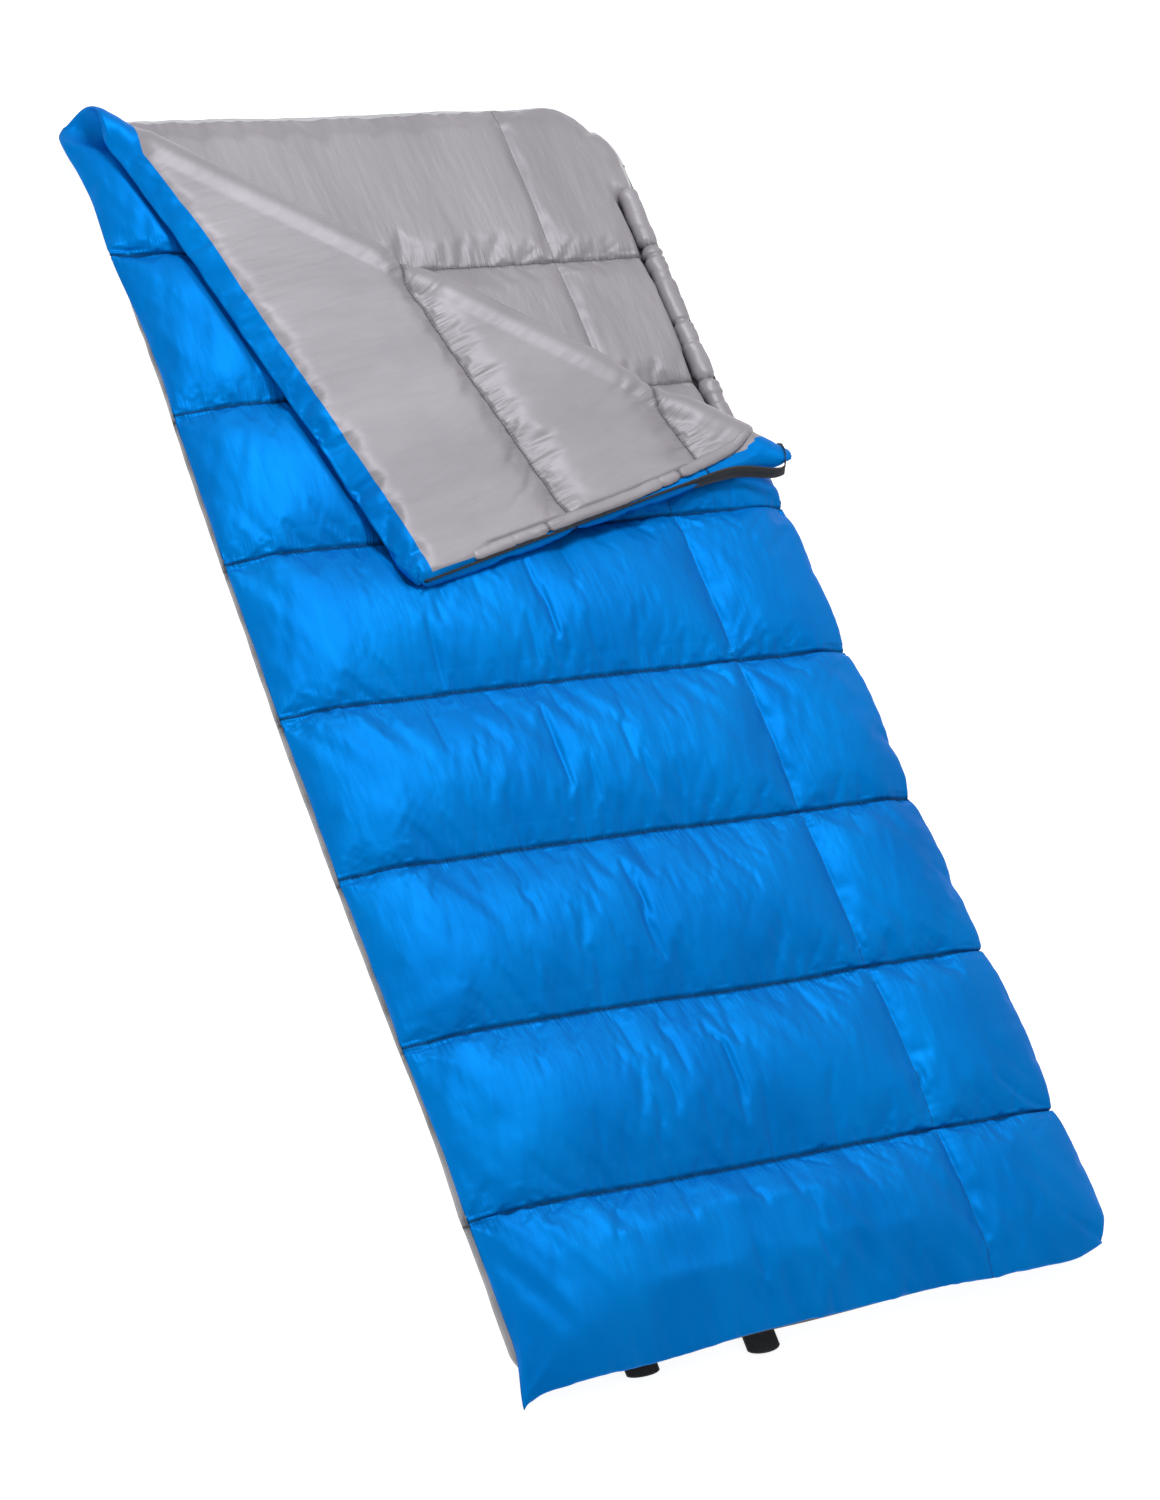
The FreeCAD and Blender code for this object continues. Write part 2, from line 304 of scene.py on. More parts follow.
# %% The satin
def satin(name, colour, shade, row_shade, roughness, metallic, sheen):
    """Satin-woven polyester: a drifting tint, a fine weave, drawn-out creases and shade in the rows."""
    material, tree, surface = new_material(name)
    place = node(tree, "ShaderNodeTexCoord").outputs["UV"]
    tint = node(tree, "ShaderNodeMix", data_type="RGBA")
    tint.inputs["A"].default_value = (*shade, 1)
    tint.inputs["B"].default_value = (*colour, 1)
    spread = node(tree, "ShaderNodeMapRange")
    spread.inputs["From Min"].default_value = 0.35
    spread.inputs["From Max"].default_value = 0.65
    tree.links.new(stretched_noise(tree, place, (9, 4, 1), 3.0), spread.inputs["Value"])
    tree.links.new(spread.outputs["Result"], tint.inputs["Factor"])
    shaded = node(tree, "ShaderNodeMix", data_type="RGBA")
    shaded.inputs["B"].default_value = (*[c * row_shade for c in shade], 1)
    tree.links.new(tint.outputs["Result"], shaded.inputs["A"])
    tree.links.new(beside_rows(tree, place, 0.0042), shaded.inputs["Factor"])
    tree.links.new(shaded.outputs["Result"], surface.inputs["Base Color"])
    weave = math_node(tree, "ADD", yarns(tree, place, "X", 0.0008), yarns(tree, place, "Y", 0.0011))
    normal = bumped(tree, weave, 0.10, 0.0002)
    long_creases = stretched_noise(tree, place, (70, 14, 1), 5.0)
    normal = bumped(tree, long_creases, 0.40, 0.0022, normal)
    soft_folds = stretched_noise(tree, place, (34, 9, 1), 2.0)
    normal = bumped(tree, soft_folds, 0.30, 0.0050, normal)
    gathers = stretched_noise(tree, place, (190, 16, 1), 2.0)
    gathers = math_node(tree, "MULTIPLY", gathers, beside_rows(tree, place, 0.030))
    normal = bumped(tree, gathers, 0.9, 0.0035, normal)
    tree.links.new(normal, surface.inputs["Normal"])
    sheen_range = node(tree, "ShaderNodeMapRange")
    sheen_range.inputs["To Min"].default_value = roughness - 0.06
    sheen_range.inputs["To Max"].default_value = roughness + 0.06
    tree.links.new(long_creases, sheen_range.inputs["Value"])
    tree.links.new(sheen_range.outputs["Result"], surface.inputs["Roughness"])
    surface.inputs["Metallic"].default_value = metallic
    surface.inputs["Specular IOR Level"].default_value = 0.35
    surface.inputs["Specular Tint"].default_value = (*[c / max(colour) for c in colour], 1)
    surface.inputs["Sheen Weight"].default_value = sheen
    surface.inputs["Sheen Roughness"].default_value = 0.4
    surface.inputs["Sheen Tint"].default_value = (*colour, 1)
    return material


blue_satin = satin("blue_satin", (0.0, 0.205, 0.64), (0.0, 0.165, 0.55),
                   row_shade=0.20, roughness=0.50, metallic=0.36, sheen=0.10)
grey_satin = satin("grey_lining_satin", (0.325, 0.308, 0.335), (0.28, 0.265, 0.29),
                   row_shade=0.45, roughness=0.48, metallic=0.22, sheen=0.15)
pale_satin = satin("pale_grey_satin", (0.50, 0.50, 0.52), (0.44, 0.44, 0.46),
                   row_shade=0.60, roughness=0.50, metallic=0.15, sheen=0.15)
print("satins", len(bpy.data.materials))

# %% [markdown]
# ## Tape, webbing, thread and small hard parts
# Zip tape and webbing are matt and ribbed both ways, and thread is a finer copy of the same. The coil is
# moulded nylon, and slider, pull and stops are enamelled metal: smooth, with a faint orange-peel.

# %% Tape, webbing, thread, nylon and enamel
def woven(name, colour, spacing, strength):
    """Matt woven tape or webbing with visible ribs."""
    material, tree, surface = new_material(name)
    place = node(tree, "ShaderNodeTexCoord").outputs["Object"]
    ribs = math_node(tree, "ADD", yarns(tree, place, "X", spacing), yarns(tree, place, "Y", spacing))
    tint = node(tree, "ShaderNodeMix", data_type="RGBA")
    tint.inputs["A"].default_value = (*[c * 0.6 for c in colour], 1)
    tint.inputs["B"].default_value = (*colour, 1)
    tree.links.new(ribs, tint.inputs["Factor"])
    tree.links.new(tint.outputs["Result"], surface.inputs["Base Color"])
    tree.links.new(bumped(tree, ribs, strength, 0.0004), surface.inputs["Normal"])
    surface.inputs["Roughness"].default_value = 0.75
    surface.inputs["Sheen Weight"].default_value = 0.15
    return material


def smooth_hard(name, colour, roughness, metallic):
    """Moulded or enamelled small parts, with a faint orange-peel."""
    material, tree, surface = new_material(name)
    place = node(tree, "ShaderNodeTexCoord").outputs["Object"]
    grain = node(tree, "ShaderNodeTexNoise", Scale=900.0, Detail=2.0)
    tree.links.new(place, grain.inputs["Vector"])
    tree.links.new(bumped(tree, grain.outputs["Fac"], 0.08, 0.0002), surface.inputs["Normal"])
    surface.inputs["Base Color"].default_value = (*colour, 1)
    surface.inputs["Roughness"].default_value = roughness
    surface.inputs["Metallic"].default_value = metallic
    return material


black_tape = woven("black_zip_tape", (0.018, 0.018, 0.020), 0.0012, 0.4)
black_webbing = woven("black_webbing", (0.014, 0.014, 0.016), 0.0022, 0.7)
blue_thread = woven("blue_thread", (0.0, 0.02, 0.12), 0.0006, 0.3)
grey_thread = woven("grey_thread", (0.10, 0.09, 0.10), 0.0006, 0.3)
black_nylon = smooth_hard("black_nylon", (0.02, 0.02, 0.022), 0.4, 0.0)
black_enamel = smooth_hard("black_enamel", (0.02, 0.02, 0.022), 0.28, 0.6)
print("materials", len(bpy.data.materials))


# %% [markdown]
# ## A padded layer
# Each layer is a flat sandwich, shell and lining with batting between, sewn through along the quilting
# rows. It could be a box with a quilted bump, but its outline and its channels would stay flat. So it
# is made as a closed pillow on one grid, whose lines fall on the rows, and the solver swells it later.

# %% The grid of a padded layer
def grid_lines(stops, cell, crowd):
    """Lines between stops, crowded towards each stop; returns the values and the index of each stop."""
    values, marks = [stops[0]], [0]
    for a, b in zip(stops, stops[1:]):
        count = max(2, int(round((b - a) / cell)))
        share = np.arange(1, count + 1) / count
        share -= crowd * np.sin(2 * math.pi * share) / (2 * math.pi)
        values += (a + (b - a) * share).tolist()
        marks.append(len(values) - 1)
    return np.array(values), marks


def round_corner(x, y, corner_x, corner_y, radius):
    """Draw the square corner of a plan in to a quarter circle."""
    sign_x, sign_y = np.sign(corner_x), np.sign(corner_y)
    dx = (x - (corner_x - sign_x * radius)) * sign_x
    dy = (y - (corner_y - sign_y * radius)) * sign_y
    inside = (dx > 0) & (dy > 0)
    share = np.where(inside, np.maximum(dx, dy) / np.maximum(np.hypot(dx, dy), 1e-9), 1.0)
    new_x = np.where(inside, corner_x - sign_x * radius + sign_x * dx * share, x)
    new_y = np.where(inside, corner_y - sign_y * radius + sign_y * dy * share, y)
    return new_x, new_y


def channel_crown(y):
    """0 on each row and 1 in the middle of a channel."""
    crown = np.zeros_like(y)
    stops = [FOOT - 0.02, *ROWS, HEAD + 0.02]
    for a, b in zip(stops, stops[1:]):
        inside = (y >= a) & (y <= b)
        t = np.clip((y - a) / (b - a), 0, 1)
        crown = np.where(inside, np.clip(1 - np.abs(2 * t - 1) ** 2.6, 0, 1) ** 0.45, crown)
    return crown


class PaddedLayer:
    """Two sheets on one grid. `upper` and `lower` are arrays of points, rows of Y by columns of X."""

    def __init__(self, left, right, foot, head, cell, seed):
        self.xs, self.x_marks = grid_lines([left, SIDE_ROW, right], cell, 0.0)
        self.ys, self.y_marks = grid_lines([foot, *ROWS, head], cell, 0.55)
        self.x, self.y = np.meshgrid(self.xs, self.ys)
        self.left, self.right, self.foot, self.head = left, right, foot, head
        self.seed = seed

    def edge_distances(self):
        return self.x - self.left, self.right - self.x, self.y - self.foot, self.head - self.y


print("a layer has", CHANNELS, "channels of", round(CHANNEL, 4), "m")

# %% [markdown]
# ## Swelling the layers
# The rows are pinned, the cloth is cut a little larger than its place, and pressure inside lets it
# swell. The extra cloth is given by a vertex group: most at the rows, where thread draws the cloth up into
# puckers, least in the middle of a channel. Afterwards no point may have moved further than a cap, so the
# layer keeps its size. First come the meshes that the solver needs.

# %% Two sheets as one closed mesh
SWELL_FRAMES = 16
ON_LINE = 1e-5
SIDE_ROW_HOLD = 0.45
EDGES = (np.s_[0, :], np.s_[-1, :], np.s_[:, 0], np.s_[:, -1])


def sheet_faces(index):
    corners = [index[:-1, :-1], index[:-1, 1:], index[1:, 1:], index[1:, :-1]]
    return np.stack(corners, -1).reshape(-1, 4)


def sandwich(layer):
    """Points of both sheets, and the faces of each: the sheets share their outer edge."""
    upper_index = np.arange(layer.x.size).reshape(layer.x.shape)
    lower_index = upper_index + layer.x.size
    for edge in EDGES:
        lower_index[edge] = upper_index[edge]
    points = np.concatenate([layer.upper.reshape(-1, 3), layer.lower.reshape(-1, 3)])
    return points, sheet_faces(upper_index), sheet_faces(lower_index)[:, ::-1]


def compact_faces(faces):
    """The points that the faces use, and the faces renumbered for them."""
    used, compact = np.unique(faces, return_inverse=True)
    return used, compact.reshape(faces.shape)


def closed_pillow(layer):
    points, upper_faces, lower_faces = sandwich(layer)
    used, faces = compact_faces(np.concatenate([upper_faces, lower_faces]))
    return points[used], faces, used


print("the solver runs", SWELL_FRAMES, "frames a layer")


# %% Run the cloth solver on a layer
def weight_group(piece, name, weights, steps=10):
    group = piece.vertex_groups.new(name=name)
    levels = np.round(weights * steps).astype(int)
    for level in range(1, steps + 1):
        members = np.flatnonzero(levels == level)
        if len(members):
            group.add(members.tolist(), level / steps, "REPLACE")


def swell(layer, pressure, ease, cap, rim_hold, side_row_below):
    """Run the cloth solver on the layer and put the settled points back in its grids."""
    points, faces, used = closed_pillow(layer)
    pillow = new_object("swelling", points, faces)
    flat_x, flat_y = np.tile(layer.x.ravel(), 2)[used], np.tile(layer.y.ravel(), 2)[used]
    row_distance = np.min([np.abs(flat_y - row) for row in ROWS], axis=0)
    side_distance = np.abs(flat_x - SIDE_ROW)
    edge_distance = np.min([flat_x - layer.left, layer.right - flat_x,
                            flat_y - layer.foot, layer.head - flat_y], axis=0)
    has_side_row = (used < layer.x.size) | side_row_below
    held = np.where(row_distance < ON_LINE, 1.0, 0.0)
    held = np.maximum(held, np.where((side_distance < ON_LINE) & has_side_row, SIDE_ROW_HOLD, 0.0))
    held = np.maximum(held, np.where(edge_distance < ON_LINE, rim_hold, 0.0))
    weight_group(pillow, "held", held)
    gather = np.maximum(fade(row_distance, 0.025), 0.35 * fade(side_distance, 0.015) * has_side_row)
    gather *= 0.75 + 0.25 * cloud(flat_x, flat_y, 0.09, 0.09, layer.seed + 5)
    weight_group(pillow, "ease", np.clip(gather, 0, 1))
    solver = pillow.modifiers.new("swell", "CLOTH")
    cloth = solver.settings
    cloth.quality = 5
    cloth.mass = 0.15
    cloth.tension_stiffness = cloth.compression_stiffness = 15
    cloth.shear_stiffness = 5
    cloth.bending_stiffness = 0.05
    cloth.air_damping = 2
    cloth.vertex_group_mass = "held"
    cloth.vertex_group_shrink = "ease"
    cloth.shrink_min, cloth.shrink_max = ease
    cloth.use_pressure = True
    cloth.uniform_pressure_force = pressure
    cloth.effector_weights.gravity = 0
    solver.collision_settings.use_collision = False
    solver.point_cache.frame_end = SWELL_FRAMES
    for step in range(1, SWELL_FRAMES + 1):
        bpy.context.scene.frame_set(step)
    settled = pillow.evaluated_get(bpy.context.evaluated_depsgraph_get())
    found = np.empty(len(points) * 3)
    settled.data.vertices.foreach_get("co", found)
    bpy.context.scene.frame_set(1)
    moved = found.reshape(-1, 3) - points
    length = np.linalg.norm(moved, axis=1, keepdims=True)
    moved *= np.minimum(1.0, cap / np.maximum(length, 1e-9))
    everything = np.concatenate([layer.upper.reshape(-1, 3), layer.lower.reshape(-1, 3)])
    everything[used] = points + moved
    layer.upper, layer.lower = everything.reshape(2, *layer.upper.shape)
    share_rim(layer)
    bpy.data.objects.remove(pillow)
    print("swelled", len(points), "points, furthest", round(float(length.max()), 4))


def share_rim(layer):
    for edge in EDGES:
        layer.lower[edge] = layer.upper[edge]


print("the side row is held with", SIDE_ROW_HOLD, "of the strength of the cross rows")

# %% [markdown]
# ## Puckers
# The solver's grid is too coarse for the fine gathers beside a seam, and a finer one would take too long.
# So the settled grid is divided smoothly, and gathers, tucks and soft folds are added along its normals. They
# are real relief, because they catch the light at the outline too.

# %% A finer grid
def finer(values, factor, axis):
    """Catmull-Rom points between the grid's own along one axis."""
    values = np.moveaxis(values, axis, 0)
    first, last = 2 * values[:1] - values[1:2], 2 * values[-1:] - values[-2:-1]
    padded = np.concatenate([first, values, last])
    p0, p1, p2, p3 = padded[:-3], padded[1:-2], padded[2:-1], padded[3:]
    out = np.empty(((len(values) - 1) * factor + 1, *values.shape[1:]))
    out[-1] = values[-1]
    for k in range(factor):
        t = k / factor
        out[k:-1:factor] = 0.5 * (2 * p1 + (p2 - p0) * t + (2 * p0 - 5 * p1 + 4 * p2 - p3) * t ** 2
                                  + (3 * p1 - p0 - 3 * p2 + p3) * t ** 3)
    return np.moveaxis(out, 0, axis)


def refine(layer, factor_x, factor_y):
    layer.upper = finer(finer(layer.upper, factor_y, 0), factor_x, 1)
    layer.lower = finer(finer(layer.lower, factor_y, 0), factor_x, 1)
    flat = np.dstack([layer.x, layer.y])
    flat = finer(finer(flat, factor_y, 0), factor_x, 1)
    layer.x, layer.y = flat[..., 0], flat[..., 1]
    layer.x_marks = [m * factor_x for m in layer.x_marks]
    layer.y_marks = [m * factor_y for m in layer.y_marks]


def sheet_normals(points):
    along_y, along_x = np.gradient(points, axis=(0, 1))
    normal = np.cross(along_x, along_y)
    return normal / np.maximum(np.linalg.norm(normal, axis=2, keepdims=True), 1e-12)


print("points between the grid's own follow a smooth curve:", finer(np.array([0.0, 1.0, 4.0]), 2, 0).round(3))


# %% Gathers, folds and tucks
def pleats(x, y, seed, side_row):
    """Height of the fine gathers beside the stitching and of the long soft folds between rows."""
    height = np.zeros_like(x)
    for index, row in enumerate(ROWS):
        away = y - row
        slant = 0.35 * cloud(x, away * 0, 0.12, 1.0, seed + 11 * index) + 0.12
        along = x + slant * away
        gathers = cloud(along, np.abs(away), 0.0042, 0.09, seed + 31 + index)
        gathers += 0.6 * cloud(along, np.abs(away), 0.0068, 0.05, seed + 53 + index)
        strength = 0.45 + 0.55 * cloud(x, away * 0, 0.07, 1.0, seed + 71 + index)
        reach = 0.013 + 0.012 * np.clip(cloud(x, away * 0, 0.05, 1.0, seed + 91 + index) + 0.4, 0, 1.4)
        height += 0.0011 * np.clip(strength, 0.15, 1) * gathers * fade(np.abs(away), reach)
    side = x - SIDE_ROW
    tucks = cloud(np.abs(side), y, 0.05, 0.0060, seed + 131)
    height += 0.0006 * side_row * tucks * fade(np.abs(side), 0.012)
    across = x + 0.55 * y
    patches = smooth(0.5 + 1.3 * cloud(x, y, 0.11, 0.13, seed + 151))
    height += 0.0015 * patches * cloud(across, y, 0.022, 0.13, seed + 171)
    height += 0.0005 * cloud(x - 0.3 * y, y, 0.012, 0.07, seed + 191) * patches
    return height


def edge_tucks(layer, seed):
    """Small tucks square to the outer edges, where the seam allowance draws the cloth in."""
    x, y = layer.x, layer.y
    left, right, foot, head = layer.edge_distances()
    height = np.zeros_like(x)
    for distance, along, offset in ((left, y, 0), (right, y, 1), (foot, x, 2), (head, x, 3)):
        tuck = cloud(along, distance, 0.0075, 0.05, seed + 211 + offset)
        tuck += 0.8 * cloud(along, distance, 0.021, 0.09, seed + 231 + offset)
        height += 0.0009 * tuck * fade(distance, 0.020) * smooth(distance / 0.006)
    return height


def pucker(layer, seed, side_row_below):
    upper_normal, lower_normal = sheet_normals(layer.upper), -sheet_normals(layer.lower)
    rim = np.min(layer.edge_distances(), axis=0)
    inside = smooth(rim / 0.004)[..., None]
    sheets = ((layer.upper, upper_normal, seed, True),
              (layer.lower, lower_normal, seed + 500, side_row_below))
    for sheet, normal, draw, side_row in sheets:
        height = pleats(layer.x, layer.y, draw, side_row) + edge_tucks(layer, draw)
        sheet += height[..., None] * normal * inside
    share_rim(layer)


print("gathers beside", len(ROWS), "rows")

# %% [markdown]
# ## The top layer
# Blue satin outside and grey satin inside. Its edges come down to the side seam and to the zip, the
# last channel is drawn in along the foot and leaves a small ear at the foot corner, and the shell is turned
# over the head edge as a wide hem. It could be a plain rectangle, but quilting and packing pull real
# cloth out of true. So small drifts of the rows and of the outline come first, each with its own helper.

# %% How far the cloth lies from a true rectangle
def drift_of_rows(x, y):
    """How far the rows lie from straight, where the folded corner drags them."""
    flat = np.dstack([x, y, 0 * x])
    dragged = smooth((beyond_crease(flat) + 0.12) / 0.15)
    dragged = dragged * smooth((y - 0.28) / 0.12) * smooth((HEAD - y) / 0.12)
    lifted = fade(x - LEFT, 0.12) * smooth((y - 0.5) / 0.2) * smooth((HEAD - y) / 0.1)
    return 0.028 * lifted - 0.045 * dragged


def tip_stretch(y):
    """How far the zip side is drawn out beyond the slider, at the tip of the fold."""
    return 0.030 * bell(y - FOLD_TIP_Y - 0.012, 0.045) * smooth((y - 0.305) / 0.020)


def foot_drift(x):
    return 0.009 * smooth((x + 0.05) / 0.25) - 0.012 * bell(x + 0.27, 0.12)


def outline_drift(x, y):
    """How far the outline wanders from a true rectangle, in X and in Y."""
    near_left, near_right = fade(x - LEFT, 0.10), fade(RIGHT - x, 0.10)
    near_foot = 1 - smooth((y - FOOT) / 0.10)
    head_tip = fade(x - LEFT, 0.09) * smooth(1 - (HEAD - y) / 0.16)
    head_side = near_left * smooth((y - 0.52) / 0.2)
    foot_ear = fade(x - LEFT, 0.05) * smooth(1 - (y - FOOT) / 0.07)
    waist = np.clip(1 - (y / 0.62) ** 2, 0, 1)
    swell_out = 0.017 * smooth((-0.22 - y) / 0.35) - 0.012 * bell(y - 0.12, 0.14)
    out_x = -0.009 * near_left * waist - 0.014 * head_tip - 0.012 * head_side - 0.010 * foot_ear
    out_x = out_x + near_right * (swell_out * smooth((RIGHT - x) / 0.012) + tip_stretch(y))
    out_y = 0.020 * head_tip - 0.3 * near_right * tip_stretch(y) + near_foot * foot_drift(x)
    return out_x, out_y


print("the zip side is drawn out by up to", float(tip_stretch(np.linspace(0, HEAD, 400)).max().round(4)))


# %% Shape and swell the top layer
TOP_MID = top_low.z + LAYER / 2
UP_CROWN, DOWN_CROWN = 0.0150, 0.0120
SEAM_HALF = 0.0012
HEM_ROLL, HEM_DROP = 0.013, 0.006


def top_layer():
    layer = PaddedLayer(LEFT, RIGHT, FOOT, HEAD, 0.0072, seed=3)
    left, right, foot, head = layer.edge_distances()
    crown = channel_crown(layer.y)
    side_dip = 1 - 0.22 * bell(layer.x - SIDE_ROW, 0.012)
    ends = rise(right, 0.035) * rise(foot, 0.045) * rise(head, 0.035)
    up = (SEAM_HALF + (UP_CROWN - SEAM_HALF) * crown * side_dip) * ends * rise(left, 0.110)
    down = (SEAM_HALF + (DOWN_CROWN - SEAM_HALF) * crown) * ends * rise(left, 0.050)
    down *= 1 - 0.6 * bell(head - HEM, 0.007)
    middle = TOP_MID - 0.0130 * (1 - smooth(left / 0.085))
    middle -= 0.0085 * (1 - smooth(np.minimum(right, foot) / 0.050))
    ripple = 0.0010 * cloud(layer.x, layer.y, 0.03, 0.03, 7) * (crown > 0.05)
    x, y = round_corner(layer.x, layer.y, RIGHT, FOOT, FOOT_RADIUS)
    x, y = round_corner(x, y, RIGHT, HEAD, 0.022)
    x, y = round_corner(x, y, LEFT, HEAD, 0.022)
    wobble = 0.0018 * cloud(layer.x, layer.y, 0.10, 0.20, 8)
    ear = fade(left, 0.045) * smooth(1 - foot / 0.12)
    y = y + wobble * smooth(np.minimum(foot, head) / 0.05) - 0.030 * ear + drift_of_rows(layer.x, layer.y)
    wander = 0.0022 * cloud(layer.y, layer.x, 0.11, 0.5, 9) * smooth(np.minimum(left, right) / 0.1)
    x = x + 0.003 * ear + wander
    middle = middle - 0.006 * ear
    rolled = np.clip(1 - head / HEM, 0, 1)
    y = y - HEM_ROLL * rolled
    middle = middle + HEM_DROP * rolled ** 2 * smooth(left / 0.10)
    out_x, out_y = outline_drift(layer.x, layer.y)
    layer.upper = np.dstack([x + out_x, y + out_y, middle + up + ripple])
    layer.lower = np.dstack([x + out_x, y + out_y, middle - down + ripple])
    share_rim(layer)
    return layer


def overhang(layer):
    """The padding swells out over the zip, except at the tip of the fold, where the tape shows."""
    left, right, foot, _ = layer.edge_distances()
    full = 0.4 + 0.6 * channel_crown(layer.y)
    at_tip = 1 - smooth(np.abs(layer.y - FOLD_TIP_Y) / 0.06)
    side_bulge = 0.017 * full * (1 - at_tip) * (right / 0.010) * np.exp(1 - right / 0.010)
    foot_bulge = 0.015 * (foot / 0.010) * np.exp(1 - foot / 0.010) * smooth(left / 0.06)
    layer.upper[..., 0] += side_bulge
    layer.upper[..., 1] -= foot_bulge


top = top_layer()
swell(top, pressure=2.6, ease=(-0.010, -0.034), cap=0.013, rim_hold=0.3, side_row_below=False)
refine(top, 3, 2)
pucker(top, seed=20, side_row_below=False)
overhang(top)
print("top layer", top.x.shape, "points a sheet")

# %% [markdown]
# ## Layers that lie on each other
# On the real bag the top layer rests on the bottom one, and the flap presses on both. A collision
# simulation of all three would be slow and hard to repeat. Soft limits on the height do the same: the cloth
# flattens where something lies on it, and it makes room for the strip inside the zip.

# %% Rest the top layer on the bottom one and press it under the flap
FACING_HEAD = 0.843
FACING_HALF = 0.0090


def covered_by_flap(points):
    """Share of 0 to 1 for points of the flat layer that the folded flap comes to lie over."""
    beyond = beyond_crease(points)
    flat = points * [1, 1, 0]
    mirror = flat - 2 * (beyond_crease(flat))[..., None] * crease_out
    inside = smooth((RIGHT - mirror[..., 0]) / 0.02) * smooth((mirror[..., 0] - LEFT) / 0.02)
    inside = inside * smooth((HEAD - mirror[..., 1]) / 0.02)
    return np.where(beyond > 0, 1.0, smooth((-beyond - 0.015) / 0.03) * inside), beyond


def tip_bump(y):
    """1 at the tip of the fold, where the blue edge of the lining side is widest."""
    return bell(y - FOLD_TIP_Y, 0.055)


def facing_middle(y):
    return RIGHT - 0.0095 - 0.0125 * smooth((0.62 - y) / 0.30) - 0.016 * tip_bump(y)


def facing_inner_edge(y):
    return facing_middle(y) - FACING_HALF


def settle_top(layer):
    covered, beyond = covered_by_flap(layer.upper)
    covered = np.maximum(covered, smooth((beyond + 0.02) / 0.02))
    limit = crease_point[2] - 0.0006 - 0.0010 * smooth(beyond / 0.01)
    z = layer.upper[..., 2]
    z = z + (keep_below(z, limit) - z) * covered
    over_zip = smooth((layer.upper[..., 0] - RIGHT + 0.0005) / 0.002)
    z = z + (keep_above(z, MIDDLE + 0.009) - z) * over_zip
    layer.upper[..., 2] = z
    low = keep_above(layer.lower[..., 2], MIDDLE + 0.0006, 0.0015)
    beside_zip = smooth((layer.x - facing_inner_edge(layer.y) + 0.002) / 0.006)
    beside_zip = beside_zip * smooth((FACING_HEAD + 0.01 - layer.y) / 0.012)
    low = low + (keep_above(low, MIDDLE + 0.0072) - low) * beside_zip
    past_zip = smooth((layer.lower[..., 0] - RIGHT + 0.001) / 0.002)
    low = low + (keep_above(low, MIDDLE + 0.0080) - low) * past_zip
    layer.lower[..., 2] = np.minimum(low, layer.upper[..., 2] - 0.0008)
    share_rim(layer)
    print("top layer z", layer.upper[..., 2].min().round(4), layer.upper[..., 2].max().round(4))


settle_top(top)

# %% [markdown]
# ## Shell, hem and lining
# Shell and lining are two cloths sewn along their edges, and the shell is turned over the edge as a hem.
# Two separate meshes would leave cracks there. So the closed pillow is cut in two along the hem line,
# and both cuts keep the same points. Then each is folded back about the crease.

# %% Cut the top layer into shell and lining and fold it
def compact_piece(points, faces, flat):
    used, renumbered = compact_faces(faces)
    return points[used], renumbered, flat[used]


def split_layer(layer, outside_up, left, right, foot, head):
    """The outside sheet with hems turned over the edge, and the rest of the inside.

    The hems are this wide at each edge; `right` is a function of y.
    """
    points, upper_faces, lower_faces = sandwich(layer)
    outer, inner = (upper_faces, lower_faces) if outside_up else (lower_faces, upper_faces)
    centre_x = (layer.x[:-1, :-1] + layer.x[1:, 1:]).ravel() / 2
    centre_y = (layer.y[:-1, :-1] + layer.y[1:, 1:]).ravel() / 2
    turned_over = (centre_x < layer.left + left) | (centre_x > layer.right - right(centre_y))
    turned_over |= (centre_y < layer.foot + foot) | (centre_y > layer.head - head)
    flat = np.tile(np.dstack([layer.x, layer.y]).reshape(-1, 2), (2, 1))
    outside = compact_piece(points, np.concatenate([outer, inner[turned_over]]), flat)
    return outside, compact_piece(points, inner[~turned_over], flat)


def zip_hem(y):
    return RIGHT - facing_middle(y) - 0.4 * FACING_HALF


shell_cut, lining_cut = split_layer(top, True, left=0.004, right=zip_hem, foot=0.010, head=HEM)
blue_shell = add_folded("quilted_blue_shell", *shell_cut[:2], blue_satin, "blue_shell", shell_cut[2])
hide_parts("top_shell", "flap_shell", "top_fill", "flap_fill", "fold_fill")
top_lining = add_folded("quilted_top_lining", *lining_cut[:2], grey_satin, "grey_lining", lining_cut[2])
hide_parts("top_lining", "flap_lining", "fold_lining")
print("blue shell", len(shell_cut[1]), "faces; top lining", len(lining_cut[1]))

# %% [markdown]
# ## The bottom layer
# Pale grey satin outside and the same grey lining inside. It is made like the top layer, so that both
# swell alike, but it stays flat. It is drawn in under the blue at the side seam and at the foot, where a
# narrow flange joins it to the zip. Along the open zip its lining stops short and leaves a ledge, in which
# the draft tube lies.

# %% Shape and swell the bottom layer
BOTTOM_MID = bottom_low.z + LAYER / 2
TUBE_LOW, TUBE_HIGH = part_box("draft_tube")
LEDGE = RIGHT - TUBE_LOW.x
HEAD_RADIUS = 0.085
SEAM_AT_TAPE = 0.020


